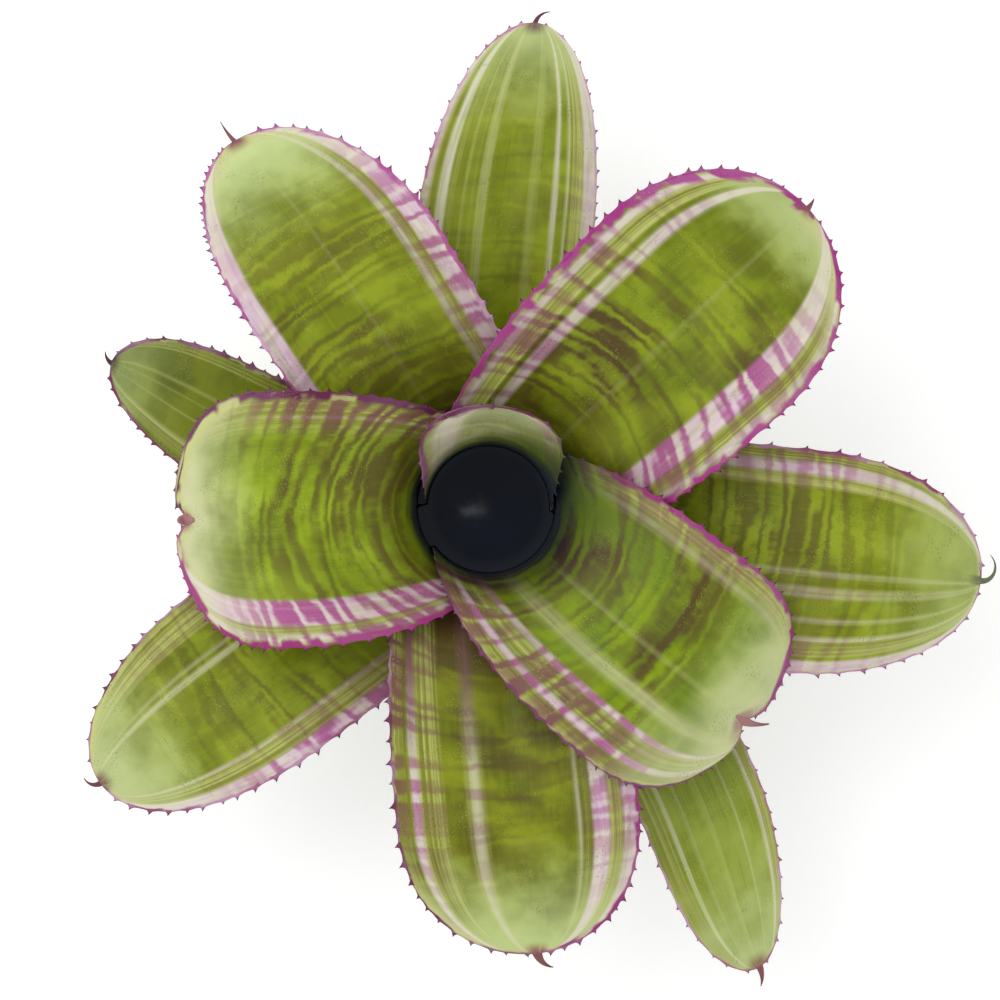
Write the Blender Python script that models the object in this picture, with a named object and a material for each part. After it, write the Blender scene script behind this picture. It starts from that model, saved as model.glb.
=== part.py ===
"""Neoregelia, a tank bromeliad: a rosette of eleven strap leaves round a water-filled cup.

Every leaf clasps a short stem, rises as part of the cup wall and then bends outward as a broad
strap.  The cup walls are nested surfaces of revolution, one radius for each leaf, so a leaf lies
outside all the leaves that are younger than it and never cuts through them.

Frame: metres, +Z up, origin at the centre of the stem's flat cut base.  Azimuths are in degrees,
anticlockwise from +X as seen from above.
"""
import math
from dataclasses import dataclass

import bpy
import numpy as np

# Stem: a short tapered caudex, cut flat at the bottom.
STEM_BASE_RADIUS = 0.0178      # under the oldest leaf
STEM_TOP_RADIUS = 0.0095       # at the youngest leaf
STEM_FOOT_RADIUS = 0.0190      # the cut face
OLDEST_LEAF_HEIGHT = 0.0085    # where the oldest leaf leaves the stem
YOUNGEST_LEAF_HEIGHT = 0.0325
STEM_DOME = 0.0050             # rounded growing point above the youngest leaf
STEM_SEGMENTS = 32
STEM_DOME_STEPS = 4

# Cup: the leaf bases nest, the youngest innermost.
CUP_RADIUS = 0.0207            # middle surface of the youngest leaf's wall
LEAF_SPACING = 0.00175         # from one wall to the next older one
BASE_SLOPE = 20.0              # degrees above level where a leaf leaves the stem
BASE_CLEARANCE = 0.0008        # from the stem to the middle surface's edge
BASE_WRAP = 1.5                # half the angle that a leaf base holds the stem by, radians

# Leaf blade: thick along the middle, thin at the margins.
MIDDLE_THICKNESS = 0.0009
MARGIN_THICKNESS = 0.0005
BLADE_FLATTENING = 1.5         # how much flatter than a full revolution a blade's tip end is
GUTTER_DEPTH = 0.0040          # rise of the margins just outside the cup
TIP_DROOP = 0.0035             # fall of the margins near the tip
RIPPLE_LENGTH = 0.047          # between two waves of a margin
NOTCH_HALF_WIDTH = 0.0045      # of the notch in a blunt tip
SHEATH_WIDEST = 0.55           # share of the cup wall's height where a sheath is widest
SHEATH_NARROWS = 0.60          # share from which it narrows to the neck
BLADE_FREE_FROM = 0.60         # share of the bend past which the blade leaves the cup's round form
BLADE_ARCH = 1.5               # power by which the blade's slope falls along its length
SWEEP_POWER = 1.3              # the same for its sideways turn
NORMAL_STEP = 0.0002           # distance over which slopes of the surface are taken
SHORT_BLADE = 0.03             # a blade under this length is part of the cup wall
CROSS_SEGMENTS = 12
BOWL_ROWS, WALL_ROWS, BEND_ROWS, BLADE_ROWS, TIP_ROWS = 5, 2, 3, 5, 4
PROFILE_SAMPLES = 1200

# Water held by the cup.
WATER_LEVEL = 0.0715
WATER_GAP = 0.0010             # to the middle of a leaf's inner face
WATER_SEGMENTS = 48
WATER_FLOOR_RADIUS = 0.0085
WATER_STEP_WIDTH = 12.0        # degrees over which the water steps from one leaf to the next
WATER_BOWL_SHARES = (0.45, 0.62, 0.80, 1.0)  # rings of the water up the youngest leaf's bowl
WATER_FLOOR_GAP = 0.0005       # above the growing point
WATER_WALL_RISE = 0.006        # from the top of the bowl to where the water fills the whole cup


@dataclass(frozen=True)
class Leaf:
    """One leaf; lengths in metres, angles in degrees."""

    name: str
    azimuth: float      # of the sheath
    sweep: float        # sideways turn of the tip
    throat: float       # height where the wall ends and the outward bend starts
    bend: float         # radius of the outward bend
    rise: float         # slope of the blade just after the bend
    tip_slope: float    # slope at the tip
    blade: float        # length from the bend to the tip
    sheath: float       # width of the clasping base
    neck: float         # width at the throat
    width: float        # greatest width of the blade
    widest: float       # where that is, as a share of the way from throat to tip
    round_end: float    # length of the rounded end
    blunt: float        # 2 is an ellipse; more is squarer
    notch: float        # depth of the notch at the tip
    skew: float         # sideways shift of the tip within the rounded end
    roll: float         # sideways tilt of the blade
    ripple: float       # height of the waves along the margins


# From the youngest leaf, innermost and highest, to the oldest.
LEAVES = (
    Leaf("leaf_01", 87.0, 0.0, 0.093, 0.050, 64, 62, 0.013, 0.066, 0.056, 0.052, 0.30, 0.024, 2.2,
         0, 0, 0, 0),
    Leaf("leaf_02", 318.5, 1.5, 0.088, 0.026, 22, -50, 0.077, 0.080, 0.078, 0.080, 0.40, 0.036, 2.6,
         0.0055, 0, -1.5, 0.0006),
    Leaf("leaf_03", 184.5, -2.0, 0.084, 0.026, 20, -50, 0.064, 0.084, 0.080, 0.082, 0.40, 0.036, 2.7,
         0.0060, 0, 0, 0.0006),
    Leaf("leaf_04", 43.0, 0.0, 0.080, 0.030, 30, -30, 0.102, 0.086, 0.078, 0.082, 0.45, 0.046, 2.0,
         0, 0, -1.5, 0.0007),
    Leaf("leaf_05", 275.5, 0.0, 0.071, 0.030, 19, -24, 0.098, 0.086, 0.075, 0.077, 0.50, 0.044, 2.2,
         0, 0.002, -1.0, 0.0008),
    Leaf("leaf_06", 121.5, 0.8, 0.068, 0.030, 28, -22, 0.100, 0.086, 0.070, 0.067, 0.30, 0.058, 2.3,
         0, 0.006, 2.0, 0.0006),
    Leaf("leaf_07", 348.6, 3.2, 0.060, 0.030, 20, -20, 0.112, 0.086, 0.068, 0.072, 0.40, 0.060, 2.2,
         0, -0.001, -2.0, 0.0007),
    Leaf("leaf_08", 215.0, 0.5, 0.053, 0.030, 17, -20, 0.103, 0.084, 0.064, 0.065, 0.35, 0.064, 2.1,
         0, 0, 2.0, 0.0006),
    Leaf("leaf_09", 87.2, -2.0, 0.0465, 0.030, 16, -14, 0.104, 0.084, 0.058, 0.058, 0.38, 0.070, 2.0,
         0, -0.002, 0, 0.0005),
    Leaf("leaf_10", 310.5, -9.0, 0.0425, 0.030, 12, -14, 0.117, 0.080, 0.048, 0.042, 0.40, 0.054, 2.0,
         0, -0.003, -1.0, 0.0004),
    Leaf("leaf_11", 164.8, -6.0, 0.0400, 0.030, 8, -18, 0.071, 0.078, 0.048, 0.042, 0.30, 0.048, 1.9,
         0, 0.001, -3.0, 0.0004),
)

LEAF_GREEN = (0.235, 0.330, 0.075, 1.0)
YOUNG_LEAF_PALE = (0.420, 0.450, 0.260, 1.0)
STEM_BROWN = (0.180, 0.105, 0.055, 1.0)
WATER_DARK = (0.010, 0.012, 0.017, 1.0)


def make_material(name, colour, roughness):
    """A plain Principled material."""
    material = bpy.data.materials.new(name)
    material.use_nodes = True
    shader = material.node_tree.nodes["Principled BSDF"]
    shader.inputs["Base Color"].default_value = colour
    shader.inputs["Roughness"].default_value = roughness
    shader.inputs["Metallic"].default_value = 0.0
    material.diffuse_color = colour
    return material


def make_object(name, vertices, faces, material):
    """A smooth-shaded object from an array of points and a list of faces."""
    mesh = bpy.data.meshes.new(name)
    mesh.from_pydata(vertices.tolist(), [], faces)
    mesh.materials.append(material)
    mesh.shade_smooth()
    mesh.set_sharp_from_angle(angle=math.radians(50))
    mesh.update()
    piece = bpy.data.objects.new(name, mesh)
    bpy.context.scene.collection.objects.link(piece)
    return piece


def ease(t):
    """0 to 1 with level ends, clamped outside."""
    t = np.clip(t, 0.0, 1.0)
    return t * t * (3.0 - 2.0 * t)


def stem_share(layer):
    """0 at the youngest leaf and 1 at the oldest."""
    return layer / (len(LEAVES) - 1)


def insertion(layer):
    """Stem radius and height where the leaf of this layer leaves the stem."""
    share = stem_share(layer)
    radius = STEM_TOP_RADIUS + (STEM_BASE_RADIUS - STEM_TOP_RADIUS) * share
    height = YOUNGEST_LEAF_HEIGHT + (OLDEST_LEAF_HEIGHT - YOUNGEST_LEAF_HEIGHT) * share
    return radius, height


class LeafForm:
    """The middle surface of a leaf as a function of arc length and sideways distance."""

    def __init__(self, leaf, layer):
        self.leaf = leaf
        stem_radius, base_height = insertion(layer)
        self.base_radius = stem_radius + BASE_CLEARANCE
        self.wall_radius = CUP_RADIUS + LEAF_SPACING * layer
        slope = math.radians(BASE_SLOPE)
        bowl_radius = (self.wall_radius - self.base_radius) / (1.0 - math.sin(slope))
        bowl = bowl_radius * (math.pi / 2 - slope)
        wall = leaf.throat - base_height - bowl_radius * math.cos(slope)
        bend = leaf.bend * (math.pi / 2 - math.radians(leaf.rise))
        self.joins = np.cumsum([bowl, wall, bend, leaf.blade])
        self.length = self.joins[3]
        self.s = np.linspace(0.0, self.length, PROFILE_SAMPLES)
        # Slope of the midrib: it turns up through the bowl, stands in the wall, leans out in the
        # bend and falls slowly along the blade.
        blade_share = np.clip((self.s - self.joins[2]) / leaf.blade, 0.0, 1.0) ** BLADE_ARCH
        self.slope = np.interp(
            self.s,
            [0.0, self.joins[0], self.joins[1], self.joins[2]],
            np.radians([BASE_SLOPE, 90.0, 90.0, leaf.rise]),
        ) + np.radians(leaf.tip_slope - leaf.rise) * blade_share
        step = self.s[1]
        self.radius = self.base_radius + self.running_sum(np.cos(self.slope)) * step
        self.height = base_height + self.running_sum(np.sin(self.slope)) * step

    @staticmethod
    def running_sum(values):
        """Trapezium sum from the first sample, for a unit step."""
        return np.concatenate([[0.0], np.cumsum((values[1:] + values[:-1]) / 2.0)])

    def full_half_width(self, s):
        """Half width before the end is rounded off."""
        leaf = self.leaf
        wall_end = self.joins[1]
        throat = wall_end + 0.5 * (self.joins[2] - wall_end)
        widest = throat + (self.length - throat) * leaf.widest
        base = BASE_WRAP * self.base_radius
        width = base + (leaf.sheath / 2 - base) * ease(s / (SHEATH_WIDEST * wall_end))
        narrows = SHEATH_NARROWS * wall_end
        width = width + (leaf.neck - leaf.sheath) / 2 * ease((s - narrows) / (throat - narrows))
        return width + (leaf.width - leaf.neck) / 2 * ease((s - throat) / (widest - throat))

    def half_width(self, s):
        """Half width of the outline, which closes to nothing at the tip."""
        leaf = self.leaf
        t = np.clip((s - (self.length - leaf.round_end)) / leaf.round_end, 0.0, 1.0)
        return self.full_half_width(s) * np.sqrt(1.0 - t ** leaf.blunt)

    def surface(self, s, x):
        """Points at arc length s along the leaf and distance x to its left, both arrays."""
        leaf = self.leaf
        free_start = self.joins[1] + BLADE_FREE_FROM * (self.joins[2] - self.joins[1])
        free = ease((s - free_start) / (self.length - free_start))
        end = np.clip((s - (self.length - leaf.round_end)) / leaf.round_end, 0.0, 1.0)
        x = x + leaf.skew * end ** 2
        if leaf.notch:
            s = s - leaf.notch * np.exp(-((x / NOTCH_HALF_WIDTH) ** 2)) * end ** 2
        radius = np.interp(s, self.s, self.radius)
        height = np.interp(s, self.s, self.height)
        share = x / self.full_half_width(s)
        turn = radius * (1.0 + BLADE_FLATTENING * free)
        outward = radius - turn * (1.0 - np.cos(x / turn))
        sideways = turn * np.sin(x / turn)
        gutter = GUTTER_DEPTH * 4.0 * free * (1.0 - free) - TIP_DROOP * free ** 2
        ripple = leaf.ripple * np.abs(share) ** 3 * np.sin(2 * np.pi * s / RIPPLE_LENGTH + 2.0 * np.sign(x))
        tilt = math.tan(math.radians(leaf.roll)) * sideways
        height = height + gutter * share ** 2 + free * (tilt + ripple)
        angle = np.radians(leaf.azimuth + leaf.sweep * free ** SWEEP_POWER)
        return np.stack([
            outward * np.cos(angle) - sideways * np.sin(angle),
            outward * np.sin(angle) + sideways * np.cos(angle),
            height,
        ], axis=-1)

    def normal(self, s, x):
        """Unit normals of the upper face, from differences over a short distance."""
        along = self.surface(s + NORMAL_STEP, x) - self.surface(s - NORMAL_STEP, x)
        across = self.surface(s, x + NORMAL_STEP) - self.surface(s, x - NORMAL_STEP)
        cross = np.cross(along, across)
        return cross / np.linalg.norm(cross, axis=-1, keepdims=True)


def leaf_rows(form):
    """Arc lengths of the rows, closest together in the bends and at the tip."""
    bowl, wall, bend, length = form.joins
    if form.leaf.blade < SHORT_BLADE:
        blade_end = length - form.leaf.blade
        stations = [0.0, bowl, wall, blade_end]
        counts = [BOWL_ROWS, WALL_ROWS + 1, BEND_ROWS + 1]
    else:
        blade_end = length - form.leaf.round_end
        stations = [0.0, bowl, wall, bend, blade_end]
        counts = [BOWL_ROWS, WALL_ROWS, BEND_ROWS, BLADE_ROWS]
    rows = [np.linspace(a, b, n, endpoint=False) for a, b, n in zip(stations, stations[1:], counts)]
    rows.append(blade_end + (length - blade_end) * np.sin(np.linspace(0.0, math.pi / 2, TIP_ROWS + 1)))
    return np.concatenate(rows)


def add_leaf(leaf, layer, material):
    """A closed leaf: an upper and a lower grid, joined along the base, the margins and the tip."""
    form = LeafForm(leaf, layer)
    s = leaf_rows(form)
    v = np.linspace(-1.0, 1.0, CROSS_SEGMENTS + 1)
    grid_s = np.repeat(s[:-1, None], v.size, axis=1)
    grid_x = form.half_width(s[:-1])[:, None] * v[None, :]
    thickness = MIDDLE_THICKNESS + (MARGIN_THICKNESS - MIDDLE_THICKNESS) * (v ** 2)[None, :]
    middle = form.surface(grid_s, grid_x)
    offset = form.normal(grid_s, grid_x) * (thickness / 2)[..., None]
    tip = form.surface(s[-1:], np.zeros(1))
    tip_offset = form.normal(s[-1:] - 2 * NORMAL_STEP, np.zeros(1)) * MARGIN_THICKNESS / 2
    rows, columns = grid_s.shape
    vertices = np.concatenate([
        (middle + offset).reshape(-1, 3), (middle - offset).reshape(-1, 3),
        tip + tip_offset, tip - tip_offset,
    ])
    below = rows * columns
    tip_up, tip_low = 2 * below, 2 * below + 1

    faces = []
    for i in range(rows - 1):
        for j in range(columns - 1):
            a, b = i * columns + j, i * columns + j + 1
            c, d = b + columns, a + columns
            faces.append((a, d, c, b))
            faces.append((a + below, b + below, c + below, d + below))
    last = (rows - 1) * columns
    for j in range(columns - 1):
        faces.append((j, j + 1, j + 1 + below, j + below))
        faces.append((last + j, tip_up, last + j + 1))
        faces.append((last + j + below, last + j + 1 + below, tip_low))
    for i in range(rows - 1):
        left, right = i * columns, i * columns + columns - 1
        faces.append((left, left + below, left + columns + below, left + columns))
        faces.append((right, right + columns, right + columns + below, right + below))
    end_right = last + columns - 1
    faces.append((last, last + below, tip_low, tip_up))
    faces.append((end_right, tip_up, tip_low, end_right + below))
    return make_object(leaf.name, vertices, faces, material)


def ring(radius, height, segments):
    """Points of a level ring; radius may be a number or one value for each point."""
    angles = np.arange(segments) * (2 * np.pi / segments)
    return np.stack([radius * np.cos(angles), radius * np.sin(angles), np.full(segments, height)], axis=-1)


def add_turned(name, rings, bottom, top, material):
    """A closed solid through rings of equal count, fanned to one point below and one above."""
    segments = len(rings[0])
    vertices = np.concatenate(rings + [np.array([bottom, top])])
    bottom_index, top_index = segments * len(rings), segments * len(rings) + 1
    last = segments * (len(rings) - 1)
    faces = []
    for k in range(segments):
        following = (k + 1) % segments
        faces.append((bottom_index, following, k))
        faces.append((last + k, last + following, top_index))
        for i in range(len(rings) - 1):
            start = i * segments
            faces.append((start + k, start + following, start + segments + following, start + segments + k))
    return make_object(name, vertices, faces, material)


def add_stem(material):
    """Cut foot, cone under the leaf bases and a domed growing point."""
    rings = [
        ring(STEM_FOOT_RADIUS, 0.0, STEM_SEGMENTS),
        ring(STEM_BASE_RADIUS, OLDEST_LEAF_HEIGHT, STEM_SEGMENTS),
        ring(STEM_TOP_RADIUS, YOUNGEST_LEAF_HEIGHT, STEM_SEGMENTS),
    ]
    for k in range(1, STEM_DOME_STEPS):
        turn = k / STEM_DOME_STEPS * math.pi / 2
        rings.append(ring(
            STEM_TOP_RADIUS * math.cos(turn), YOUNGEST_LEAF_HEIGHT + STEM_DOME * math.sin(turn),
            STEM_SEGMENTS,
        ))
    return add_turned("stem", rings, (0, 0, 0), (0, 0, YOUNGEST_LEAF_HEIGHT + STEM_DOME), material)


def wall_radius_round(angles_deg):
    """Radius of the innermost leaf wall at each azimuth, with a sloped step at a leaf's edge."""
    walls = np.full(angles_deg.shape, CUP_RADIUS + LEAF_SPACING * 3)
    for layer in (2, 1, 0):
        leaf = LEAVES[layer]
        radius = CUP_RADIUS + LEAF_SPACING * layer
        half_angle = math.degrees(leaf.sheath / 2 / radius)
        distance = np.abs((angles_deg - leaf.azimuth + 180.0) % 360.0 - 180.0)
        cover = ease((half_angle + WATER_STEP_WIDTH - distance) / (WATER_STEP_WIDTH * 0.75))
        walls = walls + (radius - walls) * cover
    return walls


def add_water(material):
    """Water from the growing point up to its level, clear of the leaves that hold it."""
    form = LeafForm(LEAVES[0], 0)
    walls = wall_radius_round(np.arange(WATER_SEGMENTS) * 360.0 / WATER_SEGMENTS)
    gap = MIDDLE_THICKNESS / 2 + WATER_GAP
    floor_height = YOUNGEST_LEAF_HEIGHT + STEM_DOME + WATER_FLOOR_GAP
    rings = [ring(WATER_FLOOR_RADIUS, floor_height, WATER_SEGMENTS)]
    for s in np.array(WATER_BOWL_SHARES) * form.joins[0]:
        slope = np.interp(s, form.s, form.slope)
        radius = np.interp(s, form.s, form.radius) - gap * math.sin(slope)
        height = np.interp(s, form.s, form.height) + gap * math.cos(slope)
        rings.append(ring(radius, height, WATER_SEGMENTS))
    full = walls - gap
    bowl_top = np.interp(form.joins[0], form.s, form.height)
    rings.append(ring(full, bowl_top + WATER_WALL_RISE, WATER_SEGMENTS))
    rings.append(ring(full, WATER_LEVEL, WATER_SEGMENTS))
    return add_turned("tank_water", rings, (0, 0, floor_height), (0, 0, WATER_LEVEL), material)


def main():
    for stale in list(bpy.data.objects):
        bpy.data.objects.remove(stale, do_unlink=True)
    leaf_material = make_material("leaf_green", LEAF_GREEN, 0.35)
    young_material = make_material("young_leaf_pale", YOUNG_LEAF_PALE, 0.35)
    for layer, leaf in enumerate(LEAVES):
        add_leaf(leaf, layer, young_material if layer == 0 else leaf_material)
    add_stem(make_material("stem_brown", STEM_BROWN, 0.7))
    add_water(make_material("water_dark", WATER_DARK, 0.03))


if __name__ == "__main__":
    main()
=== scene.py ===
"""Finish of a neoregelia: banded, toothed strap leaves round a cup of dark water.

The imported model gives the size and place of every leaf, of the stem and of the water.  This script
lays a finely meshed, toothed leaf over each plain one, and dresses all of it with node materials.

Frame: metres, +Z up, origin at the centre of the stem's cut base.  A leaf's left side is the side
that lies anticlockwise of its midrib as seen from above.
"""

import logging
import math
from dataclasses import dataclass, field
from enum import Enum

import bpy
import numpy as np
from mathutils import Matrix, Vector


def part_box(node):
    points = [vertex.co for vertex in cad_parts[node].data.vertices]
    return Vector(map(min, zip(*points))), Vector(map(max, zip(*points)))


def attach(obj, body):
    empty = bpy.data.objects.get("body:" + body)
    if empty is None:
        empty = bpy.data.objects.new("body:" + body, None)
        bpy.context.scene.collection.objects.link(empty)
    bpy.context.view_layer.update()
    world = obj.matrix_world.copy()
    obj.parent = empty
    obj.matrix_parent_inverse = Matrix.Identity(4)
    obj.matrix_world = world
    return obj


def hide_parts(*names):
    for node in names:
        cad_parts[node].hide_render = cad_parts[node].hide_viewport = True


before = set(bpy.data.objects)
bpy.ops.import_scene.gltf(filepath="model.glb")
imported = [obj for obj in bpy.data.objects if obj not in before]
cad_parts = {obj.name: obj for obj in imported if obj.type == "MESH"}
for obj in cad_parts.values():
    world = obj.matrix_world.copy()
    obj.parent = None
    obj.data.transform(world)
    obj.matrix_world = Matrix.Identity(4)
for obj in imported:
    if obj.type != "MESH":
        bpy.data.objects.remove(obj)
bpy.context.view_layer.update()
log = logging.getLogger("neoregelia")

Colour = tuple[float, float, float]
Place = tuple[float, float, float]
Span = tuple[float, float]
Array = np.ndarray
Socket = bpy.types.NodeSocket

SIDES = (1, -1)  # the left margin and the right
FULL_TURN = math.tau  # radians


# ---- shared small tools

def ease(t: Array) -> Array:
    """Rise from 0 to 1 with level ends: 3 t squared less 2 t cubed, clamped outside 0 to 1."""
    t = np.clip(t, 0.0, 1.0)
    return t * t * (3.0 - 2.0 * t)


def unit(vectors: Array) -> Array:
    """The same directions with a length of one."""
    return vectors / np.linalg.norm(vectors, axis=-1, keepdims=True)


def paint(*display: int) -> Colour:
    """Linear colour of three display values of 0 to 255: a straight foot, then a power of 2.4."""
    shares = (value / 255.0 for value in display)
    return tuple(share / 12.92 if share <= 0.04045 else ((share + 0.055) / 1.055) ** 2.4 for share in shares)


def new_mesh_object(name: str, points: Array, faces: list[Array]) -> bpy.types.Object:
    """Put points and faces into a smooth-shaded mesh object at the origin.

    Args:
        name: name of the piece.
        points: one row of x, y, z for each vertex.
        faces: arrays of vertex numbers, each array holding faces with the same count of corners.

    Returns:
        The new object, linked to the scene.
    """
    mesh = bpy.data.meshes.new(name)
    corners = np.concatenate([block.reshape(-1) for block in faces]).astype(np.int32)
    sizes = np.concatenate([np.full(len(block), block.shape[1]) for block in faces]).astype(np.int32)
    starts = np.concatenate([[0], np.cumsum(sizes)[:-1]]).astype(np.int32)
    mesh.vertices.add(len(points))
    mesh.vertices.foreach_set("co", points.astype(np.float32).reshape(-1))
    mesh.loops.add(len(corners))
    mesh.loops.foreach_set("vertex_index", corners)
    mesh.polygons.add(len(sizes))
    mesh.polygons.foreach_set("loop_start", starts)
    mesh.update(calc_edges=True)
    mesh.shade_smooth()
    piece = bpy.data.objects.new(name, mesh)
    bpy.context.scene.collection.objects.link(piece)
    return piece


def set_vector_attribute(mesh: bpy.types.Mesh, name: str, values: Array) -> None:
    """Store one vector for each vertex under the given name."""
    attribute = mesh.attributes.new(name, "FLOAT_VECTOR", "POINT")
    attribute.data.foreach_set("vector", values.astype(np.float32).reshape(-1))


def set_uv(mesh: bpy.types.Mesh, name: str, values: Array) -> None:
    """Give the mesh a UV map.

    Args:
        mesh: the mesh.
        name: name of the map.
        values: one pair for each vertex.
    """
    corner = np.empty(len(mesh.loops), dtype=np.int32)
    mesh.loops.foreach_get("vertex_index", corner)
    layer = mesh.uv_layers.new(name=name)
    layer.data.foreach_set("uv", values[corner].astype(np.float32).reshape(-1))


def around_axis(radius: Array, angle: Array, height: Array) -> Array:
    """Points at a radius, an angle in radians and a height, with x, y, z as the last axis."""
    return np.stack([radius * np.cos(angle), radius * np.sin(angle), height], axis=-1)


def closed_lathe(rings: Array, ends: Array, offset: int = 0) -> tuple[Array, list[Array]]:
    """A turned surface, or a ring carried along a path, that faces outwards and closes with two fans.

    Args:
        rings: points as rings by segments by 3, lowest ring first, each anticlockwise from above.
        ends: the middle points of the lower and the upper fan.
        offset: number of the first vertex.

    Returns:
        The points, and the faces as quads, lower fan and upper fan.
    """
    count, segments, _ = rings.shape
    centre = offset + count * segments
    here = np.arange(offset, centre).reshape(count, segments)
    beside = np.roll(here, -1, axis=1)
    quads = np.stack([here[:-1], beside[:-1], beside[1:], here[1:]], axis=-1).reshape(-1, 4)
    lower = np.stack([beside[0], here[0], np.full(segments, centre)], axis=-1)
    upper = np.stack([here[-1], beside[-1], np.full(segments, centre + 1)], axis=-1)
    return np.concatenate([rings.reshape(-1, 3), ends]), [quads, lower, upper]


# ---- node building

class Signal:
    """An output socket that adds, subtracts, multiplies and divides, with one Math node for each sign."""

    def __init__(self, graph: "Graph", socket: Socket) -> None:
        """Hold the graph and the socket."""
        self.graph, self.socket = graph, socket

    def __add__(self, other: object) -> "Signal":
        """This plus the other."""
        return self.graph.math("ADD", self, other)

    def __sub__(self, other: object) -> "Signal":
        """This less the other."""
        return self.graph.math("SUBTRACT", self, other)

    def __rsub__(self, other: float) -> "Signal":
        """A number less this."""
        return self.graph.math("SUBTRACT", other, self)

    def __mul__(self, other: object) -> "Signal":
        """This times the other."""
        return self.graph.math("MULTIPLY", self, other)

    def __truediv__(self, other: object) -> "Signal":
        """This divided by the other."""
        return self.graph.math("DIVIDE", self, other)


class Graph:
    """Short calls for adding nodes to one node tree.

    A number or a colour given where a signal is expected is set as that input's value.
    """

    def __init__(self, tree: bpy.types.NodeTree) -> None:
        """Hold the tree that the nodes go into."""
        self.tree = tree

    def node(self, kind: str, **settings: object) -> bpy.types.Node:
        """Add a node.

        Args:
            kind: the node's type.
            settings: its properties.

        Returns:
            The node.
        """
        made = self.tree.nodes.new(kind)
        for name, value in settings.items():
            setattr(made, name, value)
        return made

    def feed(self, target: Socket, source: object) -> None:
        """Link a signal to an input, or set the input's value.

        Args:
            target: the input.
            source: a signal, a number or a colour.
        """
        if isinstance(source, Signal):
            self.tree.links.new(source.socket, target)
        elif isinstance(source, tuple) and target.type == "RGBA":
            target.default_value = (*source, 1.0)
        else:
            target.default_value = source

    def made(self, output: str | int, kind: str, inputs: dict, **settings: object) -> Signal:
        """Add a node, feed it and read one of its outputs.

        Args:
            output: name or number of the output.
            kind: the node's type.
            inputs: name or number of each input to what feeds it.
            settings: the node's properties.

        Returns:
            That output.
        """
        node = self.node(kind, **settings)
        for name, source in inputs.items():
            self.feed(node.inputs[name], source)
        return Signal(self, node.outputs[output])

    def math(self, operation: str, *values: object, clamp: bool = False) -> Signal:
        """The result of a Math node."""
        return self.made(0, "ShaderNodeMath", dict(enumerate(values)), operation=operation, use_clamp=clamp)

    def line(self, value: object, slope: object, start: object) -> Signal:
        """The value times a slope, plus a start."""
        return self.math("MULTIPLY_ADD", value, slope, start)

    def largest(self, first: Signal, second: Signal) -> Signal:
        """The larger of two values."""
        return self.math("MAXIMUM", first, second)

    def step(self, value: object, low: object, high: object, start: float = 0.0, end: float = 1.0) -> Signal:
        """A smooth change from start to end while the value goes from low to high."""
        return self.made("Result", "ShaderNodeMapRange",
                         {"Value": value, "From Min": low, "From Max": high, "To Min": start, "To Max": end},
                         interpolation_type="SMOOTHSTEP", clamp=True)

    def vector(self, x: object, y: object, z: object) -> Signal:
        """A vector from three numbers."""
        return self.made(0, "ShaderNodeCombineXYZ", {0: x, 1: y, 2: z})

    def split(self, vector: Signal) -> tuple[Signal, Signal, Signal]:
        """The three numbers of a vector."""
        outputs = self.made(0, "ShaderNodeSeparateXYZ", {0: vector}).socket.node.outputs
        return Signal(self, outputs[0]), Signal(self, outputs[1]), Signal(self, outputs[2])

    def noise(self, place: object, scale: object = 1.0, detail: float = 2.0, rough: float = 0.5) -> Signal:
        """Smooth noise from 0 to 1 at a vector or at three numbers; detail counts its finer layers."""
        if isinstance(place, tuple):
            place = self.vector(*place)
        return self.made("Fac", "ShaderNodeTexNoise",
                         {"Vector": place, "Scale": scale, "Detail": detail, "Roughness": rough},
                         noise_dimensions="3D")

    def mix(self, share: object, first: object, second: object) -> Signal:
        """A colour between two others.

        Args:
            share: 0 for the first, 1 for the second.
            first, second: the colours.

        Returns:
            The mixed colour.
        """
        node = self.node("ShaderNodeMix", data_type="RGBA", clamp_factor=True)
        colours = [socket for socket in node.inputs if socket.type == "RGBA"]
        for target, source in zip((node.inputs["Factor"], *colours), (share, first, second)):
            self.feed(target, source)
        return Signal(self, next(socket for socket in node.outputs if socket.type == "RGBA"))

    def ramp(self, value: Signal, stops: list[tuple[float, Colour]]) -> tuple[Signal, Signal, Signal]:
        """Three numbers read from a list of stops.

        Args:
            value: the place to read at, 0 to 1.
            stops: each a place and its three heights.

        Returns:
            The three numbers.
        """
        node = self.node("ShaderNodeValToRGB")
        self.feed(node.inputs[0], value)
        elements = node.color_ramp.elements
        for k, (place, heights) in enumerate(stops):
            element = elements[k] if k < 2 else elements.new(place)
            element.position = place
            element.color = (*heights, 1.0)
        return self.split(Signal(self, node.outputs["Color"]))

    def attribute(self, name: str) -> Signal:
        """A vector that the mesh carries for each vertex."""
        return self.made("Vector", "ShaderNodeAttribute", {}, attribute_name=name)

    def object_place(self) -> Signal:
        """The place on the piece, in its own coordinates."""
        return self.made("Object", "ShaderNodeTexCoord", {})

    def effect(self, group: "SharedEffect", output: str = "Mask", **inputs: object) -> Signal:
        """Place a shared effect with its own values and read one of its outputs."""
        return self.made(output, "ShaderNodeGroup", inputs, node_tree=group.tree)

    def background_rays(self) -> Signal:
        """1 for the rays that show a background itself, straight on, mirrored or through glass."""
        camera, glossy, through = (self.made(f"Is {kind} Ray", "ShaderNodeLightPath", {})
                                   for kind in ("Camera", "Glossy", "Transmission"))
        return self.largest(camera, self.largest(glossy, through))


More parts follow.
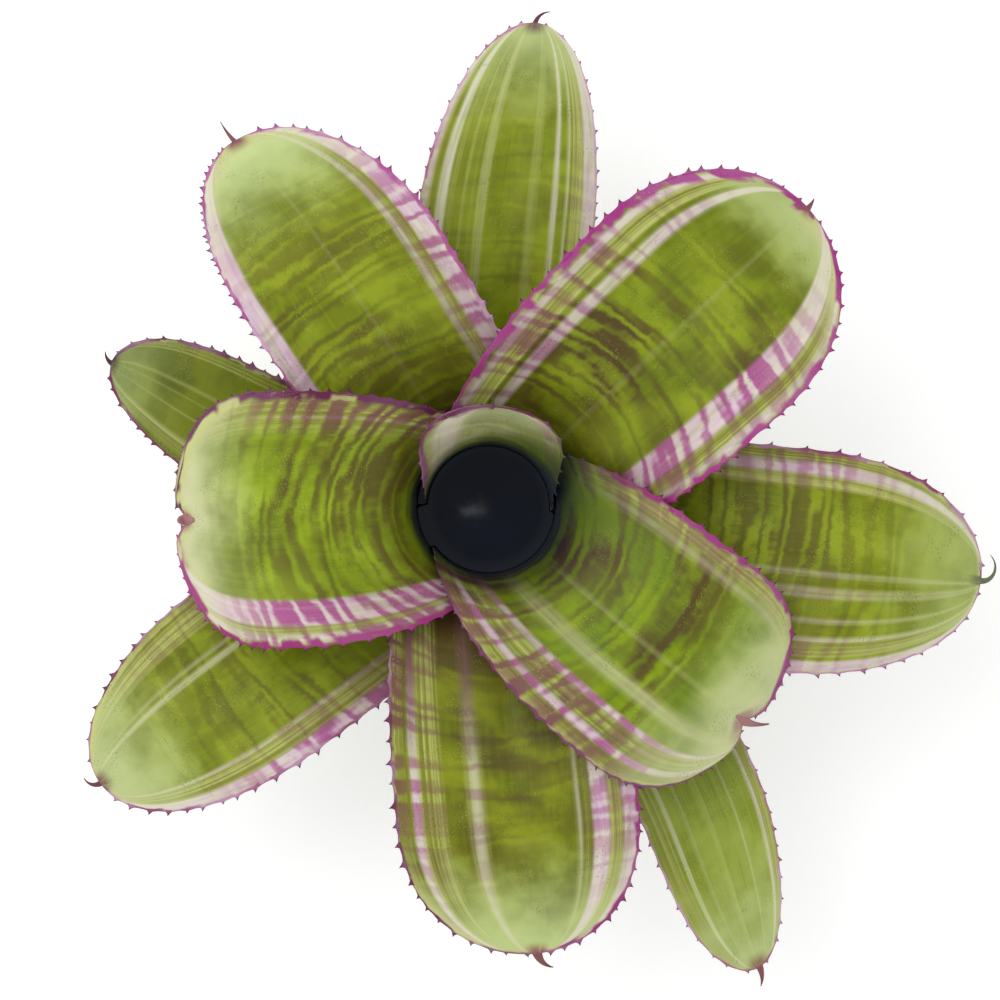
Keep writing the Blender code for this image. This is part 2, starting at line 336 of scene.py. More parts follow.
class NewMaterial:
    """A material that starts with one Principled shader, and the graph that feeds it."""

    def __init__(self, name: str, **constants: object) -> None:
        """Make the material.

        Args:
            name: name of the material.
            constants: the shader's inputs that are the same all over, with _ for a space.
        """
        self.material = bpy.data.materials.new(name)
        self.material.use_nodes = True
        self.graph = Graph(self.material.node_tree)
        self.shader = self.material.node_tree.nodes["Principled BSDF"]
        for socket, value in constants.items():
            self.shader.inputs[socket.replace("_", " ")].default_value = value

    def feed(self, socket: str, source: Signal) -> None:
        """Link a signal to one of the shader's inputs."""
        self.graph.feed(self.shader.inputs[socket], source)

    def relief(self, height: Signal, strength: float, distance: float) -> None:
        """Feed the shader's normal from a height through a Bump node."""
        self.feed("Normal", self.graph.made("Normal", "ShaderNodeBump",
                                            {"Strength": strength, "Distance": distance, "Height": height}))

    def put_on(self, piece: bpy.types.Object) -> None:
        """Give the piece this material."""
        piece.data.materials.append(self.material)


class SharedEffect:
    """A shader node group with named inputs and float outputs, built once.

    Every effect reads a place whose x and y run across and along a leaf in metres and whose z is the
    share of its half width, and takes a seed.
    """

    name: str = ""
    inputs: dict[str, float] = {}
    outputs: tuple[str, ...] = ("Mask",)

    def __init__(self) -> None:
        """Make the group's sockets and its nodes."""
        self.tree = bpy.data.node_groups.new(self.name, "ShaderNodeTree")
        self.tree.interface.new_socket("Place", in_out="INPUT", socket_type="NodeSocketVector")
        inputs = {"Seed": 0.0, **self.inputs}
        number = {"socket_type": "NodeSocketFloat"}
        for name, value in inputs.items():
            self.tree.interface.new_socket(name, in_out="INPUT", **number).default_value = value
        for name in self.outputs:
            self.tree.interface.new_socket(name, in_out="OUTPUT", **number)
        self.graph = Graph(self.tree)
        entry, end = self.graph.node("NodeGroupInput"), self.graph.node("NodeGroupOutput")
        self.given = {name: Signal(self.graph, entry.outputs[name]) for name in inputs}
        self.across, self.along, self.share = self.graph.split(Signal(self.graph, entry.outputs["Place"]))
        for name, result in zip(self.outputs, self.pattern()):
            self.graph.feed(end.inputs[name], result)

    def pattern(self) -> tuple[Signal, ...]:
        """One signal for each output."""
        raise NotImplementedError


class CrossBands(SharedEffect):
    """Bars across a leaf, as pigment lies in a banded bromeliad.

    A sine along the leaf, pushed out of step by two sizes of noise and by a small jag for each vein, is
    mixed with patches of noise and cut off at a level that itself drifts. Gap is high where the same
    value lies well below that level, between two bars.
    """

    name = "cross_bands"
    inputs = {"Length": 0.0065, "Slant": 0.0, "Wander": 2.6, "Jag": 0.7, "Patch": 0.5, "Level": 0.5,
              "Softness": 0.15}
    outputs = ("Mask", "Gap")

    def pattern(self) -> tuple[Signal, ...]:
        """Build the nodes.

        Returns:
            The bars, and the gaps between them.
        """
        graph, given, across, along = self.graph, self.given, self.across, self.along
        seed = given["Seed"]
        slow = graph.noise((across * 20.0, along * 34.0, seed))
        quick = graph.noise((across * 16.0, along * 120.0, seed + 2.9))
        warp = (slow + quick - 1.0) * given["Wander"]
        fine = graph.noise((self.share * 15.0, along * 60.0, seed + 4.7), detail=3.0, rough=0.6)
        jag = (fine - 0.5) * given["Jag"]
        rounded = across * across / (graph.math("ABSOLUTE", across) + 0.012)
        phase = (along + rounded * given["Slant"]) / given["Length"] + warp + jag
        wave = graph.line(graph.math("SINE", phase * FULL_TURN), 0.5, 0.5)
        patch = graph.noise((across * 62.0, along * 120.0, seed + 7.3), detail=2.5)
        value = wave + (graph.line(patch - 0.5, 2.4, 0.5) - wave) * given["Patch"]
        drift = graph.noise((across * 30.0, along * 48.0, seed + 9.1))
        level = graph.line(drift - 0.5, 1.1, given["Level"])
        low = level - given["Softness"]
        return graph.step(value, low, level + given["Softness"]), graph.step(value, low, low - 0.4)


class ParallelLines(SharedEffect):
    """Fine lines along the veins, which run together at the tip: noise that is very long along the leaf."""

    name = "parallel_lines"
    inputs = {"Density": 30.0, "Level": 0.5, "Softness": 0.1}
    outputs = ("Mask", "Height")

    def pattern(self) -> tuple[Signal, ...]:
        """Build the nodes.

        Returns:
            The lines, and the noise that they are cut from.
        """
        level, softness, seed = (self.given[name] for name in ("Level", "Softness", "Seed"))
        height = self.graph.noise((self.share * self.given["Density"], self.along * 7.0, seed), detail=3.0,
                                  rough=0.65)
        return self.graph.step(height, level - softness, level + softness), height


class Speckle(SharedEffect):
    """Tiny dots such as scale hairs and dust: fine noise cut high, kept only inside slow clusters."""

    name = "speckle"
    inputs = {"Fineness": 1600.0, "Cluster": 0.5, "Level": 0.66}

    def pattern(self) -> tuple[Signal, ...]:
        """Build the nodes.

        Returns:
            The dots.
        """
        graph, given = self.graph, self.given
        flat = graph.vector(self.across, self.along, given["Seed"] * 0.01)
        dots = graph.noise(flat, scale=given["Fineness"], detail=1.0)
        clusters = graph.noise(flat, scale=90.0, detail=2.0)
        inside = graph.step(clusters, given["Cluster"], given["Cluster"] + 0.12)
        return (inside * graph.step(dots, given["Level"], given["Level"] + 0.05),)


@dataclass(frozen=True)
class Effects:
    """The shared shader groups, built once."""

    bands: CrossBands = field(default_factory=CrossBands)
    lines: ParallelLines = field(default_factory=ParallelLines)
    speckle: Speckle = field(default_factory=Speckle)


# ---- finishes

BAND_BROWN = paint(84, 68, 28)
CREAM = paint(232, 230, 200)
PALE_GREEN = paint(206, 212, 134)
STRIPE_SHADE = paint(130, 92, 90)
PINK = paint(226, 196, 216)
BLOCK_MAGENTA = paint(174, 70, 146)
LILAC = paint(214, 172, 204)
LINE_OLIVE = paint(132, 134, 40)
LINE_PALE = paint(190, 196, 112)
LINE_BROWN = paint(130, 84, 84)
TOOTH_DARK = paint(70, 26, 50)
APEX_BROWN = paint(134, 82, 82)
UNDER_GREEN = paint(136, 146, 92)
UNDER_BAND = paint(110, 88, 78)
SCURF = paint(200, 204, 180)
DOT_DARK = paint(70, 74, 20)
DOT_LIGHT = paint(196, 204, 104)
# Painted shade inside the cup: deep green, purple over the bands, darkest just above the water and a little
# lighter right at the waterline.
CUP_SHADE_GREEN = paint(80, 98, 14)
CUP_SHADE_PURPLE = paint(50, 34, 36)
CUP_PAINTED_SHADE = paint(34, 42, 52)
CUP_PAINTED_SHADE_AT_WATER = paint(44, 52, 62)
SHEATH_PALE = paint(196, 198, 152)
EDGE_DARK = paint(92, 28, 66)
OLIVE, OLIVE_BRIGHT = paint(118, 131, 8), paint(150, 165, 32)
# The last water colour is painted light, lifting the water near the shaded leaf walls.
WATER_DEEP, WATER_SILT, WATER_PAINTED_LIGHT = paint(2, 12, 30), paint(4, 17, 38), paint(30, 36, 46)
BARK_DARK, BARK_PALE = paint(84, 60, 40), paint(150, 122, 88)
BARK_RING, BARK_DOT = paint(58, 42, 30), paint(186, 168, 136)
CUT_STRAW, CUT_VESSEL = paint(190, 168, 124), paint(128, 98, 62)


@dataclass(frozen=True)
class Stripe:
    """A stripe along a leaf.

    centre and half are shares of the half width, with the left margin at +1; the rest are 0 to 1.
    """

    centre: float
    half: float
    strength: float = 1.0
    blocks: float = 0.0  # how strongly dark blocks cross it
    pink: float = 0.3  # how pink the pale colour is
    soft: float = 0.022  # share over which it fades out


class RimSide(Enum):
    """Which side of the tip carries the cream rim; the value multiplies the place across the leaf."""

    RIGHT = -1.0
    BOTH = 0.0


@dataclass(frozen=True)
class LeafFinish:
    """Colours and markings of one leaf."""

    seed: float
    stripes: tuple[Stripe, ...]  # pale stripes, crossed by magenta blocks
    green: Colour = OLIVE
    bright: Colour = OLIVE_BRIGHT
    lined: tuple[Stripe, ...] = ()  # zones of fine cream, olive and brown lines
    band: float = 0.6  # strength of the cross bands on the green
    band_level: float = 0.52  # lower gives more of them
    band_length: float = 0.0065  # from one to the next, metres
    band_patch: float = 0.5  # 0 gives even bars, 1 gives loose patches
    band_until: float = 0.95  # share of the blade where they have faded out
    slant: float = 0.0
    blush_level: float = 0.5  # of the magenta blocks on the pale stripes
    blush_length: float = 0.0  # from one block to the next, 0 for the bands' own length
    blush_until: float = 0.95
    left_edge: float = 0.0016  # width of the coloured margin, metres
    right_edge: float = 0.0016
    edge: Colour = paint(166, 50, 128)
    dark_edge: float = 0.0  # how far the right margin turns dark purple
    edge_gaps: float = 0.7  # how far pale blocks break the coloured margin up
    edge_fade: float = 0.35  # how far it pales to lilac in places
    rim: float = 0.0  # width of the cream rim round the tip, metres
    rim_from: float = 0.62
    rim_side: RimSide = RimSide.BOTH
    veining: float = 0.25  # faint lines over the whole blade
    # Pale tip: a painted sheen for the bright surroundings mirrored on the down-curving ends, over the
    # tissue's own paler tone; on leaf_01 it covers nearly the whole pale young face.
    tip: Colour = paint(192, 206, 142)
    tip_tint_and_sheen_from: float = 0.70  # share of the blade where the pale tip and its painted sheen start
    tip_tint_and_sheen_share: float = 0.85
    # Colour laid over the leaf's base near the cup: painted shade, partly the base's own browner olive; a
    # lighter colour, as on leaf_09, paints light there instead.
    base_shade: float = 0.5
    base: Colour = paint(74, 66, 16)
    stripe_shade: float = 0.3  # how far the stripes darken at the base
    speckle_level: float = 0.53
    lip_shade_green: float = 0.0  # reach of the painted deep-green shade above the cup wall, metres
    lip_shade_dark: float = 0.004  # reach of the painted dark shade above the cup wall
    lip_shade_share: float = 0.6
    lip_shade_lean: float = 0.0  # how much further both reach at the right margin, metres
    point: Colour = APEX_BROWN  # of the dry point
    point_reach: float = 0.005  # half width of the dry patch at its foot, metres
    point_from: float = 0.955  # share of the blade where that patch starts


class LeafSkin(NewMaterial):
    """Node material of one leaf, read from the leaf's own place and state attributes.

    Each layer of markings is a method that covers the leaf's colour so far, and it keeps what a later
    layer also needs: the pale tissue, the stripes' and the margin's share and the dark dots.
    """

    def __init__(self, name: str, finish: LeafFinish, effects: Effects) -> None:
        """Start the material with the attributes and the patterns that several layers share.

        Args:
            name: name of the material.
            finish: the leaf's colours and markings.
            effects: the shared effects.
        """
        super().__init__(name, IOR=1.45, Specular_IOR_Level=0.24)
        self.finish, self.effects, self.seed = finish, effects, finish.seed
        graph, seed = self.graph, finish.seed
        self.place = graph.attribute("blade_place")
        self.across, self.along, self.share = graph.split(self.place)
        self.edge, self.way, self.above_wall = graph.split(graph.attribute("blade_state"))
        self.tooth, self.under, self.point = graph.split(graph.attribute("blade_part"))
        self.slow = graph.noise((self.across * 60.0, self.along * 60.0, seed), detail=3.0)
        self.bands = self.bars("Mask")
        self.blocks = graph.effect(effects.bands, Place=self.place, Seed=seed, Slant=finish.slant, Patch=0.25,
                                   Length=finish.blush_length or finish.band_length, Jag=0.5,
                                   Level=finish.blush_level, Softness=0.34)
        self.lining = self.veins(5.2, Density=32.0, Level=0.51, Softness=0.20)
        self.fray = (self.lining - 0.5) * 0.5  # the fine lines push the stripes' edges in and out
        self.vein_height = self.veins(9.4, "Height", Density=80.0)
        self.fading = self.streaks(12.0, 30.0, 2.0, 3.0)
        # where the pale tip and its painted sheen lie
        self.tip_tint_and_sheen_mask = graph.step(self.way + (self.slow - 0.5) * 0.30, finish.tip_tint_and_sheen_from, 1.04)
        cloud = graph.noise((self.across * 24.0, self.along * 24.0, seed + 8.0))
        self.band_share = (self.bands * finish.band * graph.step(self.way, finish.band_until, 0.5)
                           * graph.step(cloud, 0.34, 0.56, 0.40, 1.0))
        waver = graph.noise((self.along * 24.0, seed, 0.0), detail=1.0)
        self.ramp_place = graph.line(self.share + (waver - 0.5) * 0.03, 0.5, 0.5)

    def bars(self, output: str) -> Signal:
        """One output of this leaf's cross bands."""
        finish = self.finish
        return self.graph.effect(self.effects.bands, output, Place=self.place, Seed=self.seed,
                                 Length=finish.band_length, Slant=finish.slant, Patch=finish.band_patch,
                                 Level=finish.band_level, Softness=0.33)

    def veins(self, shift: float, output: str = "Mask", **values: float) -> Signal:
        """Lines along the veins, with a shift of the seed that keeps them apart from others."""
        return self.graph.effect(self.effects.lines, output, Place=self.place, Seed=self.seed + shift,
                                 **values)

    def dots(self, shift: float, **values: float) -> Signal:
        """Tiny dots, with a shift of the seed."""
        return self.graph.effect(self.effects.speckle, Place=self.place, Seed=self.seed + shift, **values)

    def streaks(self, across: float, along: float, shift: float, detail: float) -> Signal:
        """Noise that follows the veins, by its changes over the half width and over each metre along."""
        return self.graph.noise((self.share * across, self.along * along, self.seed + shift), detail=detail)

    @staticmethod
    def stops(stripes: tuple[Stripe, ...]) -> list[tuple[float, Colour]]:
        """Stops of the ramp from a place across the leaf to a stripe's strength, blocks and pinkness.

        Args:
            stripes: the stripes, which don't overlap.

        Returns:
            Each stop's place, 0 at the right margin and 1 at the left, and its three heights.
        """
        stops = [(0.0, (0.0, 0.0, 0.0)), (1.0, (0.0, 0.0, 0.0))]
        for stripe in sorted(stripes, key=lambda item: item.centre):
            low, high = stripe.centre - stripe.half, stripe.centre + stripe.half
            inset = min(stripe.soft * 0.6, stripe.half * 0.6)
            for place, strength in ((low - stripe.soft, 0.0), (low + inset, stripe.strength),
                                    (high - inset, stripe.strength), (high + stripe.soft, 0.0)):
                stops.append((min(max(place * 0.5 + 0.5, 0.0), 1.0), (strength, stripe.blocks, stripe.pink)))
        return stops

    def cover(self, share: Signal, colour: object) -> None:
        """Lay a colour over the leaf's colour so far, by its share."""
        self.colour = self.graph.mix(share, self.colour, colour)

    def tissue(self) -> None:
        """Green: darker at the base (painted shade, partly its own browner olive), mottled, crossed by brown
        bands, and pale at the tip under a painted sheen.
        """
        graph, finish = self.graph, self.finish
        self.colour = graph.mix(graph.step(self.slow, 0.36, 0.64), finish.green, finish.bright)
        self.cover(self.veins(1.7, Density=20.0, Level=0.52, Softness=0.12) * finish.veining, finish.bright)
        self.cover(self.bars("Gap") * (finish.band * 0.4), finish.bright)
        # painted shade at the base, partly its own browner olive; painted light where the base colour is
        # lighter
        self.cover(graph.step(self.way + self.slow * 0.1, 0.40, 0.04) * finish.base_shade, finish.base)
        # painted sheen of the pale tip
        self.cover(self.tip_tint_and_sheen_mask * finish.tip_tint_and_sheen_share, finish.tip)
        self.cover(self.band_share, BAND_BROWN)

    def lined_zones(self) -> None:
        """Zones of fine olive and cream lines near the margins, brown where a band crosses them."""
        graph, finish = self.graph, self.finish
        lined, dark_blocks, _ = graph.ramp(self.ramp_place, self.stops(finish.lined))
        crossed = graph.largest(self.band_share * 0.9,
                                self.blocks * dark_blocks * graph.step(self.way, finish.blush_until, 0.5))
        lines = graph.mix(crossed, graph.mix(self.lining, LINE_OLIVE, LINE_PALE), LINE_BROWN)
        # the painted sheen of the pale tip lies over the lines too
        lines = graph.mix(self.tip_tint_and_sheen_mask * 0.7, lines, finish.tip)
        self.cover(graph.step(lined + lined * self.fray, 0.0, 0.9), lines)

    def pale_stripes(self) -> None:
        """Cream to pink stripes with frayed edges and magenta blocks, and the cream rim of the tip."""
        graph, finish, way = self.graph, self.finish, self.way
        stripe, has_blocks, pink = graph.ramp(self.ramp_place, self.stops(finish.stripes))
        tint = graph.step(self.streaks(9.0, 90.0, 0.0, 3.0), 0.30, 0.68, 0.4, 1.6)
        pink = pink * graph.step(way, 0.62, 0.95, 1.0, 0.25)
        pale = graph.mix(graph.step(stripe, 0.25, 0.80), PALE_GREEN, CREAM)
        pale = graph.mix(graph.math("MULTIPLY", tint, pink, clamp=True), pale, PINK)
        block_share = self.blocks * has_blocks * graph.step(way, finish.blush_until, 0.55)
        pale = graph.mix(block_share * graph.line(self.lining, 0.15, 0.85), pale, BLOCK_MAGENTA)
        pale = graph.mix(self.lining * 0.14, pale, LINE_OLIVE)
        self.pale = graph.mix(graph.step(way, 0.50, 0.20) * finish.stripe_shade, pale, STRIPE_SHADE)
        self.stripe = stripe * graph.step(self.fading, 0.28, 0.54, 0.62, 1.0)
        frayed = self.stripe + self.fray * (1.0 - self.stripe) * self.stripe * 2.4
        if finish.rim:
            rim = (graph.step(self.edge, finish.rim * 1.25, finish.rim * 0.35)
                   * graph.step(way, finish.rim_from, finish.rim_from + 0.22)
                   * graph.step(self.share * finish.rim_side.value, -0.25, 0.05))
            frayed = graph.largest(frayed, rim)
        self.cover(frayed, self.pale)

    def coloured_margin(self) -> None:
        """Magenta margin, broken by pale gaps and faded to lilac in places."""
        graph, finish, edge = self.graph, self.finish, self.edge
        width = graph.step(self.share, -0.1, 0.1, finish.right_edge, finish.left_edge)
        reach = graph.step(self.streaks(3.0, 120.0, 4.0, 2.5), 0.30, 0.70, 0.55, 1.45) * width
        gap = graph.step(self.streaks(2.0, 125.0, 6.0, 1.5), 0.50, 0.58)
        gap = gap * graph.step(edge, 0.0, width * 0.6) * finish.edge_gaps
        self.margin = graph.step(edge, reach * 1.3, reach * 0.65) * (1.0 - gap)
        rim = graph.mix(graph.step(self.share, 0.0, -0.3) * finish.dark_edge, finish.edge, EDGE_DARK)
        faded = graph.step(self.streaks(1.5, 55.0, 11.0, 3.0), 0.40, 0.62) * finish.edge_fade
        self.rim_colour = graph.mix(faded, rim, LILAC)
        self.cover(graph.step(edge, reach * 1.2, reach) * gap * 0.8, self.pale)
        self.cover(self.margin, self.rim_colour)

    def dry_patch(self) -> None:
        """The blotch of dry tissue at the foot of the point."""
        graph, finish = self.graph, self.finish
        patch = (graph.step(self.way, finish.point_from, finish.point_from + 0.035)
                 * graph.step(graph.math("ABSOLUTE", self.across), finish.point_reach, 0.001)
                 * graph.step(self.fading, 0.25, 0.55, 0.6, 1.0))
        self.cover(patch * 0.85, finish.point)

    def specks(self) -> None:
        """Tiny dots, dark and light."""
        self.dark_dots = self.dots(0.0, Fineness=1500.0, Cluster=self.finish.speckle_level, Level=0.60)
        self.cover(self.dark_dots * 0.36, DOT_DARK)
        self.cover(self.dots(6.0, Fineness=1700.0, Cluster=0.52, Level=0.62) * 0.30, DOT_LIGHT)

    def underside(self) -> None:
        """The lower face: grey-green and scurfy, with the bands, stripes and margin showing through."""
        graph, finish = self.graph, self.finish
        below = graph.mix(self.bands * min(1.0, finish.band + 0.25), UNDER_GREEN, UNDER_BAND)
        below = graph.mix(self.stripe * 0.6, below, CREAM)
        below = graph.mix(self.margin * 0.8, below, finish.edge)
        below = graph.mix(graph.step(self.vein_height, 0.42, 0.62) * 0.35, below, SCURF)
        self.cover(self.under, below)

    def horn(self) -> None:
        """Prickles and the dry point, which darken outwards."""
        for reach, foot, darkening in ((self.tooth, self.rim_colour, (0.25, 0.85)),
                                       (self.point, self.finish.point, (0.45, 1.0, 0.0, 0.5))):
            self.cover(self.graph.step(reach, 0.0, 0.02), foot)
            self.cover(self.graph.step(reach, *darkening), TOOTH_DARK)

    def cup_shade(self) -> None:
        """Painted shade in the cup: deep green, darker just above the water; and pale tissue deep inside the
        sheaths.
        """
        graph, finish = self.graph, self.finish
        upper = 1.0 - self.under
        height = graph.line(self.share, finish.lip_shade_lean, self.above_wall)
        # painted shade in the cup: deep green over the tissue, purple over the bands
        if finish.lip_shade_green:
            deep = graph.step(height, finish.lip_shade_green, finish.lip_shade_green * 0.35)
            self.cover(deep * upper * 0.92, graph.mix(self.bands * finish.band, CUP_SHADE_GREEN, CUP_SHADE_PURPLE))
        # painted shade just above the water: dark, with a lighter tone right at the waterline
        painted_shade = graph.step(height + (self.slow - 0.5) * finish.lip_shade_dark, finish.lip_shade_dark, 0.0)
        self.cover(painted_shade * upper * finish.lip_shade_share,
                   graph.mix(graph.step(height, 0.006, 0.0), CUP_PAINTED_SHADE, CUP_PAINTED_SHADE_AT_WATER))
        self.cover(graph.step(height, -0.020, -0.045) * upper, SHEATH_PALE)

    def build(self) -> None:
        """Lay the layers over each other, and set the gloss and the fine relief of the veins."""
        for layer in (self.tissue, self.lined_zones, self.pale_stripes, self.coloured_margin, self.dry_patch,
                      self.specks, self.underside, self.horn, self.cup_shade):
            layer()
        self.feed("Base Color", self.colour)
        self.feed("Roughness", self.graph.step(self.slow, 0.3, 0.7, 0.36, 0.50) + self.under * 0.18)
        self.relief(self.vein_height * 0.6 + self.slow * 0.5 + self.dark_dots * 0.10, strength=0.5,
                    distance=0.0003)


# ---- the leaves' form

@dataclass(frozen=True)
class CupSizes:
    """Sizes that all the leaves share: the stem they leave, the cup wall and the blade's cross-section."""

    stem_base_radius: float = 0.0178
    stem_top_radius: float = 0.0095
    oldest_leaf_height: float = 0.0085
    youngest_leaf_height: float = 0.0325
    cup_radius: float = 0.0207
    leaf_spacing: float = 0.00175
    base_slope: float = 20.0
    base_clearance: float = 0.0008
    base_wrap: float = 1.5
    middle_thickness: float = 0.0009
    margin_thickness: float = 0.0005
    blade_flattening: float = 1.5
    gutter_depth: float = 0.0040
    tip_droop: float = 0.0035
    ripple_length: float = 0.047
    notch_half_width: float = 0.0045
    sheath_widest: float = 0.55
    sheath_narrows: float = 0.60
    blade_free_from: float = 0.60
    blade_arch: float = 1.5
    sweep_power: float = 1.3
    normal_step: float = 0.0002
    samples: int = 1200


CUP = CupSizes()


@dataclass(frozen=True)
class LeafShape:
    """Plan of one leaf; lengths in metres, angles in degrees, the same plan as the model's leaf."""

    name: str
    azimuth: float  # of the sheath
    sweep: float  # sideways turn of the tip
    throat: float  # height where the wall ends and the outward bend starts
    bend: float  # radius of the outward bend
    rise: float  # slope of the blade just after the bend
    tip_slope: float
    blade: float  # length from the bend to the tip
    sheath: float  # width of the clasping base
    neck: float  # width at the throat
    width: float  # greatest width of the blade
    widest: float  # where that is, as a share of the way from throat to tip
    round_end: float  # length of the rounded end
    blunt: float  # 2 is an ellipse; more is squarer
    notch: float  # depth of the notch at the tip
    skew: float  # sideways shift of the tip within the rounded end
    roll: float  # sideways tilt of the blade
    ripple: float  # height of the waves along the margins


# From the youngest leaf, innermost and highest, to the oldest.
LEAVES = (
    LeafShape("leaf_01", 87.0, 0.0, 0.093, 0.05, 64, 62, 0.013, 0.066, 0.056, 0.052, 0.3, 0.024, 2.2,
              0, 0, 0, 0),
    LeafShape("leaf_02", 318.5, 1.5, 0.088, 0.026, 22, -50, 0.077, 0.08, 0.078, 0.08, 0.4, 0.036, 2.6,
              0.0055, 0, -1.5, 0.0006),
    LeafShape("leaf_03", 184.5, -2.0, 0.084, 0.026, 20, -50, 0.064, 0.084, 0.08, 0.082, 0.4, 0.036, 2.7,
              0.006, 0, 0, 0.0006),
    LeafShape("leaf_04", 43.0, 0.0, 0.08, 0.03, 30, -30, 0.102, 0.086, 0.078, 0.082, 0.45, 0.046, 2.0,
              0, 0, -1.5, 0.0007),
    LeafShape("leaf_05", 275.5, 0.0, 0.071, 0.03, 19, -24, 0.098, 0.086, 0.075, 0.077, 0.5, 0.044, 2.2,
              0, 0.002, -1.0, 0.0008),
    LeafShape("leaf_06", 121.5, 0.8, 0.068, 0.03, 28, -22, 0.1, 0.086, 0.07, 0.067, 0.3, 0.058, 2.3,
              0, 0.006, 2.0, 0.0006),
    LeafShape("leaf_07", 348.6, 3.2, 0.06, 0.03, 20, -20, 0.112, 0.086, 0.068, 0.072, 0.4, 0.06, 2.2,
              0, -0.001, -2.0, 0.0007),
    LeafShape("leaf_08", 215.0, 0.5, 0.053, 0.03, 17, -20, 0.103, 0.084, 0.064, 0.065, 0.35, 0.064, 2.1,
              0, 0, 2.0, 0.0006),
    LeafShape("leaf_09", 87.2, -2.0, 0.0465, 0.03, 16, -14, 0.104, 0.084, 0.058, 0.058, 0.38, 0.07, 2.0,
              0, -0.002, 0, 0.0005),
    LeafShape("leaf_10", 310.5, -9.0, 0.0425, 0.03, 12, -14, 0.117, 0.08, 0.048, 0.042, 0.4, 0.054, 2.0,
              0, -0.003, -1.0, 0.0004),
    LeafShape("leaf_11", 164.8, -6.0, 0.04, 0.03, 8, -18, 0.071, 0.078, 0.048, 0.042, 0.3, 0.048, 1.9,
              0, 0.001, -3.0, 0.0004),
)


